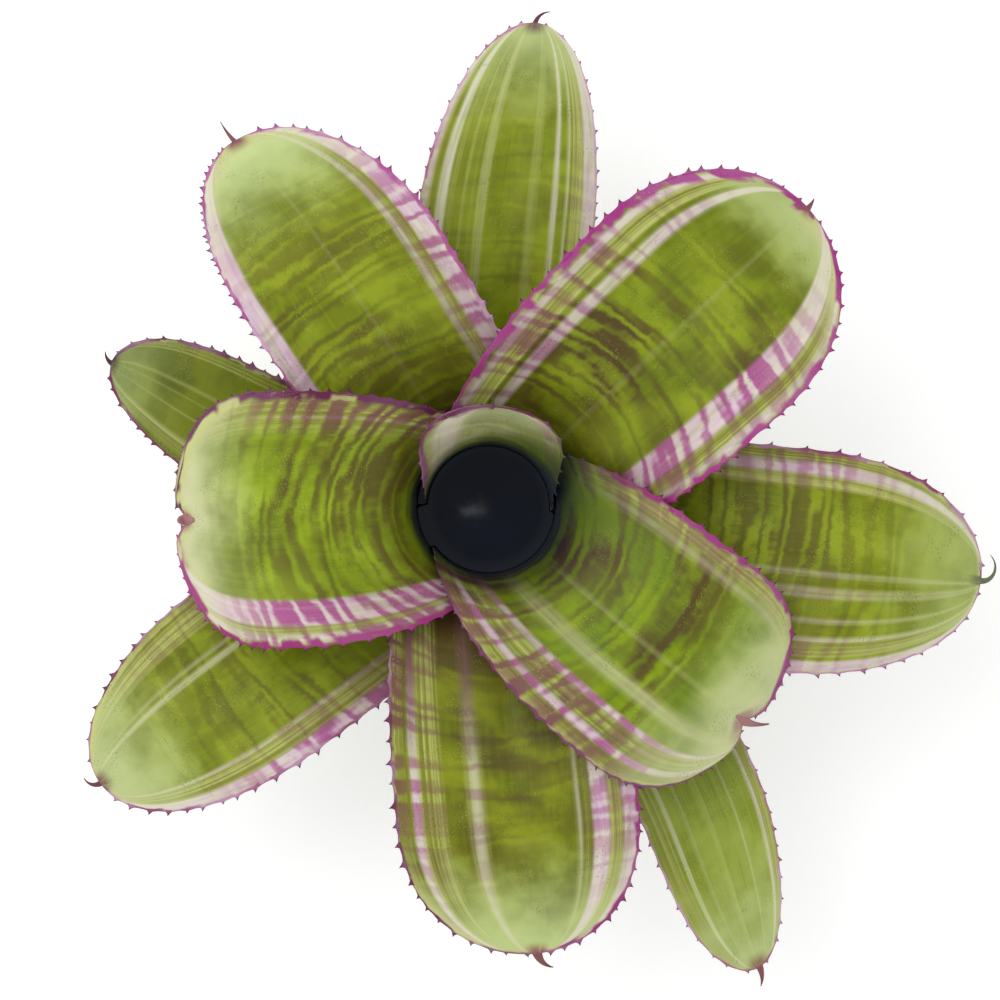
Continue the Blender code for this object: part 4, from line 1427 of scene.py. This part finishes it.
FINISHES: dict[str, LeafFinish] = {
    "leaf_01": LeafFinish(
        seed=1.0, green=paint(152, 162, 88), bright=paint(190, 192, 138),
        stripes=(Stripe(0.62, 0.2, 0.85, 0.1, 0.15, 0.12), Stripe(-0.84, 0.09, 0.5, 1.0, 0.7, 0.07)),
        band=0.35, left_edge=0.0028, right_edge=0.001, edge=paint(112, 42, 84), edge_gaps=0.5,
        edge_fade=0.25, tip=paint(182, 188, 140), tip_tint_and_sheen_from=0.1, tip_tint_and_sheen_share=0.8, base_shade=0.0,
        lip_shade_green=0.024, lip_shade_dark=0.012, lip_shade_share=1.0, lip_shade_lean=0.01, point=paint(96, 70, 74)),
    "leaf_02": LeafFinish(
        seed=2.0, green=paint(103, 128, 0), bright=paint(134, 158, 6),
        lined=(Stripe(0.91, 0.06, 0.8, 0.6), Stripe(-0.69, 0.07, 0.6, 1.0), Stripe(-0.95, 0.08, 0.8, 1.0)),
        stripes=(Stripe(0.79, 0.035, 0.45, 0.5, 0.1, 0.04), Stripe(0.0, 0.012, 0.22, pink=0.0),
                 Stripe(-0.34, 0.06, 0.48, 0.1, 0.0, 0.04), Stripe(-0.585, 0.025, 0.9, 1.0, 0.6),
                 Stripe(-0.82, 0.03, 1.0, 1.0, 0.6)),
        band=1.0, band_level=0.48, band_length=0.0058, band_patch=0.62, band_until=0.74, slant=0.1,
        blush_level=0.4, blush_length=0.0112, left_edge=0.0018, right_edge=0.0009,
        edge=paint(150, 46, 116), dark_edge=0.8, edge_fade=0.15, tip=paint(219, 225, 171), tip_tint_and_sheen_from=0.58,
        tip_tint_and_sheen_share=0.92, base_shade=0.4, lip_shade_green=0.036, lip_shade_dark=0.019, lip_shade_share=1.0, lip_shade_lean=-0.009,
        point=paint(168, 122, 124), point_reach=0.01, point_from=0.915),
    "leaf_03": LeafFinish(
        seed=3.0, green=paint(122, 141, 8), bright=paint(156, 180, 30),
        lined=(Stripe(0.86, 0.03, 0.7, 0.6), Stripe(-0.88, 0.12, 0.7, 1.0, soft=0.16)),
        stripes=(Stripe(0.73, 0.1, 1.0, 1.0, 0.6), Stripe(0.92, 0.03, 0.8, 1.0, 0.4),
                 Stripe(-0.8, 0.01, 0.3, 0.8, 0.1)),
        band=0.84, band_level=0.53, band_length=0.0052, band_patch=0.6, band_until=0.88, slant=0.25,
        blush_level=0.44, blush_until=0.85, left_edge=0.0026, right_edge=0.0025, edge=paint(158, 46, 120),
        dark_edge=0.9, edge_gaps=0.95, edge_fade=0.1, rim=0.0062, rim_from=0.6, tip=paint(222, 222, 182),
        tip_tint_and_sheen_from=0.57, tip_tint_and_sheen_share=0.92, lip_shade_green=0.012, lip_shade_dark=0.013, lip_shade_share=1.0,
        point=paint(176, 124, 128), point_from=0.93),
    "leaf_04": LeafFinish(
        seed=4.0, green=paint(104, 118, 4), bright=paint(142, 158, 24),
        lined=(Stripe(0.79, 0.07, 0.85, 0.5), Stripe(-0.85, 0.055, 0.85, 0.4)),
        stripes=(Stripe(0.89, 0.03, 0.9, 0.6, 0.5), Stripe(0.62, 0.045, 0.85, 0.7, 0.6),
                 Stripe(0.0, 0.01, 0.1), Stripe(-0.68, 0.1, 1.0, 1.0, 0.6),
                 Stripe(-0.93, 0.025, 0.8, 0.6, 0.5)),
        band=1.0, band_level=0.48, band_length=0.0068, band_until=0.92, left_edge=0.003,
        right_edge=0.0018, edge=paint(166, 52, 132), edge_gaps=0.95, edge_fade=0.15, rim=0.0066,
        rim_from=0.7, rim_side=RimSide.RIGHT, tip_tint_and_sheen_from=0.74),
    "leaf_05": LeafFinish(
        seed=5.0, green=paint(100, 108, 2), bright=paint(138, 148, 18),
        lined=(Stripe(0.8, 0.045, 0.8, 0.3), Stripe(-0.69, 0.11, 0.6, 0.6), Stripe(-0.95, 0.06, 0.6, 1.0),
               Stripe(0.57, 0.02, 0.6)),
        stripes=(Stripe(0.93, 0.06, 0.9, 0.8, 0.7), Stripe(0.68, 0.065, 1.0, 0.7, 0.8),
                 Stripe(0.5, 0.012, 0.5), Stripe(-0.33, 0.05, 0.62, 0.5, 0.1, 0.04),
                 Stripe(-0.825, 0.03, 0.95, 0.8, 0.6)),
        band=0.78, band_level=0.48, band_length=0.0068, band_patch=0.75, blush_level=0.46,
        left_edge=0.0012, right_edge=0.0008, edge=paint(150, 56, 118), dark_edge=0.7, edge_fade=0.5,
        rim=0.003, rim_from=0.7, tip=paint(206, 224, 152), tip_tint_and_sheen_from=0.66, base_shade=1.0,
        base=paint(96, 66, 42), stripe_shade=1.0),
    "leaf_06": LeafFinish(
        seed=6.0,
        lined=(Stripe(-0.76, 0.04, 0.8, 0.6),),
        stripes=(Stripe(0.9, 0.09, 1.0, 0.3, 0.8), Stripe(0.0, 0.01, 0.08),
                 Stripe(-0.67, 0.035, 0.6, 0.5, 0.5), Stripe(-0.89, 0.085, 1.0, 0.9, 0.7)),
        band=0.65, band_level=0.5, band_length=0.0056, blush_level=0.53, blush_length=0.009,
        left_edge=0.001, right_edge=0.0013, edge=paint(178, 84, 150), edge_gaps=0.9, edge_fade=0.9,
        rim=0.005, rim_from=0.45, tip=paint(207, 224, 157), tip_tint_and_sheen_from=0.66, tip_tint_and_sheen_share=0.92),
    "leaf_07": LeafFinish(
        seed=7.0,
        lined=(Stripe(0.93, 0.04, 0.8, 0.3), Stripe(0.72, 0.06, 0.75, 0.3), Stripe(-0.78, 0.07, 0.8, 0.3)),
        stripes=(Stripe(0.835, 0.05, 0.9, 0.6, 0.7), Stripe(-0.095, 0.02, 0.45, 0.3),
                 Stripe(-0.265, 0.045, 0.42, 0.4), Stripe(-0.52, 0.018, 0.4, 0.3),
                 Stripe(-0.69, 0.02, 0.55, 0.3), Stripe(-0.94, 0.05, 0.9, 0.3, 0.8)),
        band=0.72, band_level=0.5, band_length=0.006, band_patch=0.4, left_edge=0.001,
        right_edge=0.0005, edge=paint(146, 66, 112), edge_fade=0.6, rim=0.0018, rim_from=0.72,
        tip_tint_and_sheen_share=0.5, point=paint(104, 114, 78), point_reach=0.002),
    "leaf_08": LeafFinish(
        seed=8.0,
        lined=(Stripe(-0.83, 0.15, 0.75, 0.3), Stripe(0.74, 0.09, 0.7, 0.3)),
        stripes=(Stripe(-0.33, 0.03, 0.55, pink=0.1), Stripe(-0.43, 0.014, 0.35),
                 Stripe(0.64, 0.02, 0.6, 0.6), Stripe(0.92, 0.075, 1.0, 1.0, 0.7)),
        band_length=0.0075, blush_level=0.42, blush_length=0.011, blush_until=0.8, left_edge=0.001,
        right_edge=0.0006, edge=paint(150, 74, 118), dark_edge=0.4, edge_fade=0.6, rim=0.0026,
        rim_from=0.68, tip=paint(203, 216, 156), tip_tint_and_sheen_from=0.66, point=paint(112, 58, 74)),
    "leaf_09": LeafFinish(
        seed=9.0,
        lined=(Stripe(0.88, 0.05, 0.6), Stripe(0.55, 0.15, 0.3), Stripe(-0.76, 0.07, 0.7)),
        stripes=(Stripe(0.95, 0.03, 0.8, 0.3, 0.7), Stripe(0.76, 0.055, 0.85, pink=0.1),
                 Stripe(0.3, 0.05, 0.45, pink=0.0), Stripe(-0.275, 0.05, 0.25, pink=0.0),
                 Stripe(-0.525, 0.028, 0.75, pink=0.2), Stripe(-0.665, 0.014, 0.6, pink=0.1),
                 Stripe(-0.915, 0.07, 0.85, 0.1, 0.6)),
        band=0.45, band_level=0.54, band_length=0.007, left_edge=0.0007, right_edge=0.0004,
        edge=paint(190, 112, 160), edge_gaps=0.9, edge_fade=0.8, rim=0.002, rim_from=0.58,
        # a lighter base colour: painted light that lifts the shade at the base
        base=paint(158, 174, 16), point=paint(104, 60, 78)),
    "leaf_10": LeafFinish(
        seed=10.0, green=paint(134, 150, 44), bright=paint(158, 174, 70),
        lined=(Stripe(0.9, 0.06, 0.7), Stripe(-0.82, 0.12, 0.6)),
        stripes=(Stripe(0.82, 0.035, 0.65), Stripe(0.45, 0.012, 0.4),
                 Stripe(0.0, 0.03, 0.25, pink=0.0), Stripe(-0.35, 0.012, 0.3),
                 Stripe(-0.61, 0.035, 0.62, pink=0.1)),
        band=0.1, band_level=0.6, left_edge=0.0007, right_edge=0.0007, edge=paint(176, 112, 138),
        edge_fade=0.8, veining=0.6, base_shade=0.2),
    "leaf_11": LeafFinish(
        seed=11.0, green=paint(88, 100, 2), bright=paint(120, 130, 14),
        lined=(Stripe(0.72, 0.16, 0.35), Stripe(-0.85, 0.08, 0.4)),
        stripes=(Stripe(-0.25, 0.03, 0.22, pink=0.0), Stripe(-0.05, 0.02, 0.15, pink=0.0),
                 Stripe(0.22, 0.012, 0.3, pink=0.0), Stripe(0.66, 0.025, 0.4, pink=0.1)),
        band=0.2, band_level=0.58, left_edge=0.001, right_edge=0.0012, edge=paint(120, 50, 88),
        dark_edge=0.6, tip_tint_and_sheen_share=0.45, point=paint(70, 44, 48)),
}

TEETH: dict[str, Teeth] = {
    "leaf_06": Teeth(crowded_left=0.45),
    "leaf_07": Teeth(spacing=0.0095, length=0.0012),
    "leaf_08": Teeth(spacing=0.0072, length=0.0013),
    "leaf_09": Teeth(spacing=0.0068, length=0.0009, scallop=0.0003),
    "leaf_10": Teeth(spacing=0.0078, length=0.001, scallop=0.0003),
    "leaf_11": Teeth(spacing=0.006, length=0.0011, scallop=0.0003),
}

HOOKS: dict[str, Hook] = {
    "leaf_01": Hook(length=0.0045, width=0.0016),
    "leaf_02": Hook(length=0.0068, width=0.0046, thickness=0.0022, rise=12.0, turn=45.0, inside=0.0066,
                    swell=0.35),
    "leaf_03": Hook(length=0.0036, width=0.0062, thickness=0.0034, rise=200.0, turn=-25.0, inside=0.0058,
                    swell=0.4),
    "leaf_04": Hook(length=0.004, width=0.003, rise=10.0, turn=20.0),
    "leaf_05": Hook(length=0.0085, width=0.004, rise=-20.0, turn=55.0),
    "leaf_06": Hook(length=0.0085, width=0.002, rise=5.0, turn=-15.0),
    "leaf_07": Hook(length=0.012, width=0.0024, rise=-15.0, turn=140.0),
    "leaf_08": Hook(length=0.0075, width=0.0026, rise=-30.0, turn=-80.0),
    "leaf_09": Hook(length=0.007, width=0.0022, rise=-15.0, turn=-75.0),
    "leaf_10": Hook(length=0.008, width=0.003, rise=-30.0, turn=-30.0),
    "leaf_11": Hook(length=0.005, width=0.0026, rise=-20.0, turn=-60.0),
}


def report(piece: bpy.types.Object) -> None:
    """Log the name and the face count of a finished mesh."""
    log.info("%s: %d faces", piece.name, len(piece.data.polygons))


@dataclass
class Rosette:
    """All the leaves, from the youngest to the oldest."""

    blades: list[LeafBlade] = field(default_factory=list)

    def build(self) -> None:
        """Make every leaf's mesh."""
        for layer, shape in enumerate(LEAVES):
            blade = LeafBlade(shape, layer, FINISHES[shape.name], HOOKS[shape.name],
                              TEETH.get(shape.name, Teeth()), "young_leaf" if layer == 0 else "leaf")
            blade.build()
            self.blades.append(blade)
            report(blade.piece)
            log.info("  %.1f mm past the model's leaf", blade.stray() * 1000)

    def dress(self, effects: Effects) -> None:
        """Give every leaf its material."""
        for blade in self.blades:
            blade.dress(effects)


# ---- water and stem

@dataclass
class TankWater:
    """The water standing in the cup, out to the leaves that hold it."""

    segments: int = 180
    gap: float = 0.00012  # to the leaves' inner faces
    edge_step: float = 2.5  # degrees over which the water steps round a leaf's margin
    edge_clear: float = 0.4  # degrees kept clear of that margin
    holding: int = 3  # leaves that close the cup
    axil_from: float = 45.0  # degrees from the young leaf's middle where the axil water starts
    axil_gap: float = 0.00015  # from that water to the leaves beside it
    axil_depth: float = 0.006
    axil_lip: float = 0.00015  # width of the strip's edge facets
    axil_steps: int = 40
    floor_radius: float = 0.0085
    wall_from: float = 0.006  # height above the bowl where the wall's rings start
    painted_light_radii: Span = (0.0165, 0.0210)  # radii over which its colour lightens, as painted light near the shaded leaf walls
    bowl_shares: tuple[float, ...] = (0.45, 0.62, 0.80, 1.0)
    bowl_gap: float = 0.00145
    wall_rings: int = 12
    top_rings: int = 8
    top_crowding: float = 1.8
    rim_facet: float = 0.005  # share of the radius, keeps the top flat up to its rim
    piece: bpy.types.Object | None = None

    @staticmethod
    def reach(form: LeafForm, height: Array) -> Array:
        """How far round the cup a leaf's wall reaches, from its half width there.

        Args:
            form: the leaf.
            height: heights in the wall.

        Returns:
            Degrees to each side of the leaf's middle.
        """
        rising = form.s < form.joins[1]
        s = np.interp(height, form.height[rising], form.s[rising])
        return np.degrees(form.half_width(s) / form.wall_radius)

    def wall(self, angle: Array, height: Array, first: int = 0) -> Array:
        """Radius of the innermost leaf wall that covers each place round the cup.

        Args:
            angle: azimuth in degrees.
            height: height in metres, of the same shape.
            first: number of the youngest leaf that counts.

        Returns:
            The radius of that wall's middle surface.
        """
        radius = np.full(np.broadcast(angle, height).shape, CUP.cup_radius + CUP.leaf_spacing * self.holding)
        for layer in reversed(range(first, self.holding)):
            form = LeafForm(LEAVES[layer], layer)
            away = np.abs((angle - form.shape.azimuth + 180.0) % 360.0 - 180.0)
            within = self.reach(form, height) + self.edge_clear + self.edge_step - away
            radius = radius + (form.wall_radius - radius) * ease(within / self.edge_step)
        return radius

    def axil_water(self, level: float, side: int, first: int) -> tuple[Array, list[Array]]:
        """A strip of water at the same level, between the youngest leaf's back and the next walls.

        An eight-cornered section is moved round the axis and closed at both ends; its steps are the half
        cosine of an even count, so they crowd at the ends and keep the top flat.

        Args:
            level: height of the surface.
            side: 1 for the leaf's left side, -1 for its right.
            first: number of the strip's first vertex.

        Returns:
            The points and the faces.
        """
        form = LeafForm(LEAVES[0], 0)
        shares = 0.5 - 0.5 * np.cos(np.linspace(0.0, np.pi, self.axil_steps))
        furthest = float(self.reach(form, np.array([level]))[0])
        angle = form.shape.azimuth + np.sort(side * (self.axil_from + (furthest - self.axil_from) * shares))
        clear = CUP.middle_thickness / 2 + self.axil_gap
        outer = self.wall(angle, np.full(self.axil_steps, level), first=1) - clear
        inner = np.full(self.axil_steps, form.wall_radius + clear)
        lip, deep = self.axil_lip, self.axil_depth
        radius = np.stack([inner, inner + lip, outer - lip, outer, outer, outer, inner, inner], axis=1)
        height = np.broadcast_to(level - np.array([0.0, 0.0, 0.0, 0.0, lip, deep, deep, lip]), radius.shape)
        rings = around_axis(radius, np.radians(angle)[:, None], height)
        return closed_lathe(rings, rings[[0, -1]].mean(axis=1), first)

    def body_rings(self, floor: float, level: float) -> Array:
        """Rings of the main body: up the bowl along its slope, up the wall, then in over the surface.

        Args:
            floor: height of the lowest ring.
            level: height of the surface.

        Returns:
            The points as rings by segments by 3.
        """
        form = LeafForm(LEAVES[0], 0)
        angle = np.arange(self.segments) * 360.0 / self.segments
        flat = np.ones(self.segments)
        rings = [(self.floor_radius * flat, floor)]
        for s in np.array(self.bowl_shares) * form.joins[0]:
            slope, radius, height = (np.interp(s, form.s, run)
                                     for run in (form.slope, form.radius, form.height))
            rings.append(((radius - self.bowl_gap * math.sin(slope)) * flat,
                          height + self.bowl_gap * math.cos(slope)))
        start = float(np.interp(form.joins[0], form.s, form.height)) + self.wall_from
        for height in np.linspace(start, level, self.wall_rings):
            wall = self.wall(angle, height * flat)
            rings.append((wall - CUP.middle_thickness / 2 - self.gap, height))
        rim = rings[-1][0]
        inward = np.linspace(0.0, 1.0, self.top_rings)[1:-1] ** self.top_crowding
        rings += [(rim * share, level) for share in 1.0 - np.concatenate([[self.rim_facet], inward])]
        radius = np.array([ring for ring, _ in rings])
        height = np.array([high for _, high in rings])[:, None].repeat(self.segments, axis=1)
        return around_axis(radius, np.radians(angle)[None, :], height)

    def build(self) -> None:
        """Make the water: its main body and the two axil strips."""
        low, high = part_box("tank_water")
        floor, level = low[2], high[2]
        points, faces = closed_lathe(self.body_rings(floor, level), np.array([[0, 0, floor], [0, 0, level]]))
        for side in SIDES:
            strip, strip_faces = self.axil_water(level, side, len(points))
            points, faces = np.concatenate([points, strip]), faces + strip_faces
        self.piece = new_mesh_object("standing_water", points, faces)
        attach(self.piece, "root")
        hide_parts("tank_water")
        report(self.piece)

    def dress(self) -> None:
        """Dark, still water: a nearly black body under a mirror surface, with faint clouds of silt, and
        lighter towards its rim as painted light where the leaf walls shade it.
        """
        water = NewMaterial("tank_water_dark", IOR=1.33, Specular_IOR_Level=0.2)
        graph = water.graph
        place = graph.object_place()
        silt = graph.noise(place, scale=70.0, detail=3.0)
        colour = graph.mix(graph.step(silt, 0.35, 0.75), WATER_DEEP, WATER_SILT)
        x, y, _ = graph.split(place)
        radius = graph.math("SQRT", graph.line(x, x, y * y))
        # painted light: the water turns lighter near the leaf walls, against their shade
        water.feed("Base Color", graph.mix(graph.step(radius, *self.painted_light_radii), colour, WATER_PAINTED_LIGHT))
        film = graph.noise(place, scale=420.0, detail=2.0)
        water.feed("Roughness", graph.step(film, 0.5, 0.8, 0.03, 0.06))
        water.relief(graph.noise(place, scale=65.0, detail=1.0), strength=1.0, distance=0.00003)
        water.put_on(self.piece)


@dataclass
class Stem:
    """The short caudex: a cut foot, ringed by old leaf scars, and a domed growing point."""

    foot_radius: float = 0.0190
    dome: float = 0.0050
    segments: int = 120
    side_rings: int = 90
    dome_rings: int = 14
    scar_height: float = 0.0011
    scar_depth: float = 0.00045
    lump_depth: float = 0.00035
    cut_rings: int = 10
    cut_face: Span = (0.0006, 0.0001)  # heights over which the bark gives way to the cut
    piece: bpy.types.Object | None = None

    def build(self) -> None:
        """Make the stem: a profile turned about the axis, pinched at each scar and a little lumpy.

        The pinch is a cubed cosine of the height, whose place wanders round the stem; the lumps are a
        product of two sines that wind round it. A dome closes the top and a flat cut the foot.
        """
        z = np.linspace(0.0, CUP.youngest_leaf_height, self.side_rings)
        knots = [0.0, CUP.oldest_leaf_height, CUP.youngest_leaf_height]
        profile = np.interp(z, knots, [self.foot_radius, CUP.stem_base_radius, CUP.stem_top_radius])
        angle = np.arange(self.segments) * FULL_TURN / self.segments
        wander = 0.10 * np.sin(2 * angle + 0.7) + 0.06 * np.sin(5 * angle)
        pinch = (0.5 + 0.5 * np.cos(FULL_TURN * (z[:, None] / self.scar_height + wander))) ** 3
        lumps = 0.5 + 0.5 * np.sin(7 * angle + 9 * z[:, None] / 0.006) * np.sin(11 * angle - 500 * z[:, None])
        radius = profile[:, None] - self.scar_depth * pinch - self.lump_depth * lumps
        turn = np.linspace(0.0, np.pi / 2, self.dome_rings + 1)[1:-1]
        cap = radius[-1][None, :] * np.cos(turn)[:, None]
        inner = radius[0][None, :] * np.linspace(0.0, 1.0, self.cut_rings + 1)[1:-1, None]
        top = CUP.youngest_leaf_height + self.dome
        dome_z = CUP.youngest_leaf_height + self.dome * np.sin(turn)
        heights = np.concatenate([np.zeros(len(inner)), z, dome_z])
        rings = around_axis(np.concatenate([inner, radius, cap]), angle,
                            heights[:, None].repeat(self.segments, axis=1))
        points, faces = closed_lathe(rings, np.array([[0, 0, 0], [0, 0, top]]))
        self.piece = new_mesh_object("stem_caudex", points, faces)
        self.piece.data.set_sharp_from_angle(angle=math.radians(50))
        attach(self.piece, "root")
        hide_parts("stem")
        report(self.piece)

    def dress(self, effects: Effects) -> None:
        """Corky brown with paler scar rings; the cut face is straw-coloured with darker vessels.

        Args:
            effects: the shared effects.
        """
        bark = NewMaterial("caudex_bark")
        graph = bark.graph
        place = graph.object_place()
        x, y, z = graph.split(place)
        grain = graph.noise((x * 140.0, y * 140.0, z * 700.0), detail=4.0, rough=0.6)
        colour = graph.mix(graph.step(grain, 0.3, 0.7), BARK_DARK, BARK_PALE)
        rings = graph.noise((0.0, 0.0, z * 900.0), detail=1.0)
        colour = graph.mix(graph.step(rings, 0.5, 0.62) * 0.5, colour, BARK_RING)
        dots = graph.effect(effects.speckle, Place=place, Seed=3.0, Fineness=900.0, Cluster=0.45, Level=0.6)
        colour = graph.mix(dots * 0.6, colour, BARK_DOT)
        vessels = graph.noise(place, scale=1100.0, detail=2.0)
        cut = graph.mix(graph.step(vessels, 0.45, 0.65), CUT_STRAW, CUT_VESSEL)
        bark.feed("Base Color", graph.mix(graph.step(z, *self.cut_face), colour, cut))
        bark.feed("Roughness", graph.step(grain, 0.2, 0.8, 0.72, 0.88))
        bark.relief(grain, strength=0.6, distance=0.0006)
        bark.put_on(self.piece)


# ---- the studio

@dataclass
class Studio:
    """Pale floor, an even sky, a large soft panel, and a small one that the water mirrors."""

    camera_place: Place = (0.0038, 0.0022, 0.95)
    focal_length: float = 95.6  # of the camera, millimetres, as is the next
    sensor_width: float = 36.0
    floor_size: float = 6.0
    floor_below: float = 0.0004
    floor_shade: float = 0.86
    floor_glow: float = 0.36  # added to the floor as it is seen, so that it looks white
    sky: float = 0.78  # strength as a light; the sky itself is seen white
    panel_power: float = 8.0
    panel_size: Span = (1.1, 1.1)
    panel_place: Place = (-0.75, 0.55, 1.55)
    glint_power: float = 0.0042
    glint_size: Span = (0.024, 0.011)
    glint_place: Place = (-0.026, -0.008, 2.0)

    def build_camera(self) -> None:
        """The camera looks straight down with +Y up the picture."""
        data = bpy.data.cameras.new("overhead")
        data.lens, data.sensor_width = self.focal_length, self.sensor_width
        camera = bpy.data.objects.new("overhead", data)
        camera.location = self.camera_place
        bpy.context.scene.collection.objects.link(camera)
        bpy.context.scene.camera = camera

    def build_floor(self) -> None:
        """A plain white floor under the cut base."""
        half = self.floor_size / 2
        corners = np.array([[-half, -half], [half, -half], [half, half], [-half, half]])
        points = np.column_stack([corners, np.full(4, -self.floor_below)])
        floor = new_mesh_object("studio_floor", points, [np.array([[0, 1, 2, 3]])])
        white = NewMaterial("studio_floor_white", Base_Color=(*[self.floor_shade] * 3, 1.0), Roughness=0.9,
                            Emission_Color=(1.0, 1.0, 1.0, 1.0))
        white.feed("Emission Strength", white.graph.background_rays() * self.floor_glow)
        white.put_on(floor)

    def build_sky(self) -> None:
        """An even world, which lights as a pale sky and is seen white."""
        world = bpy.data.worlds.new("even_sky")
        bpy.context.scene.world = world
        world.use_nodes = True
        background = world.node_tree.nodes["Background"]
        background.inputs["Color"].default_value = (1.0, 1.0, 1.0, 1.0)
        graph = Graph(world.node_tree)
        strength = graph.line(graph.background_rays(), 1.0 - self.sky, self.sky)
        graph.feed(background.inputs["Strength"], strength)

    @staticmethod
    def build_lamp(name: str, power: float, size: Span, place: Place) -> None:
        """An area lamp that faces the origin.

        Args:
            name: name of the lamp.
            power: in watts.
            size: its two sides.
            place: where it hangs.
        """
        light = bpy.data.lights.new(name, "AREA")
        light.shape, light.energy = "RECTANGLE", power
        light.size, light.size_y = size
        lamp = bpy.data.objects.new(name, light)
        lamp.location = place
        x, y, z = place
        lamp.rotation_euler = (0.0, math.atan2(math.hypot(x, y), z), math.atan2(y, x))
        bpy.context.scene.collection.objects.link(lamp)

    def build(self) -> None:
        """Set up the camera, the floor, the light and the plain view transform."""
        self.build_camera()
        self.build_floor()
        self.build_sky()
        self.build_lamp("soft_panel", self.panel_power, self.panel_size, self.panel_place)
        self.build_lamp("window_glint", self.glint_power, self.glint_size, self.glint_place)
        bpy.context.scene.view_settings.view_transform = "Standard"


def main() -> None:
    """Build the plant and its studio in order."""
    logging.basicConfig(level=logging.INFO, format="%(message)s")
    Studio().build()
    effects = Effects()
    rosette = Rosette()
    rosette.build()
    rosette.dress(effects)
    water = TankWater()
    water.build()
    water.dress()
    stem = Stem()
    stem.build()
    stem.dress(effects)


if __name__ == "__main__":
    main()
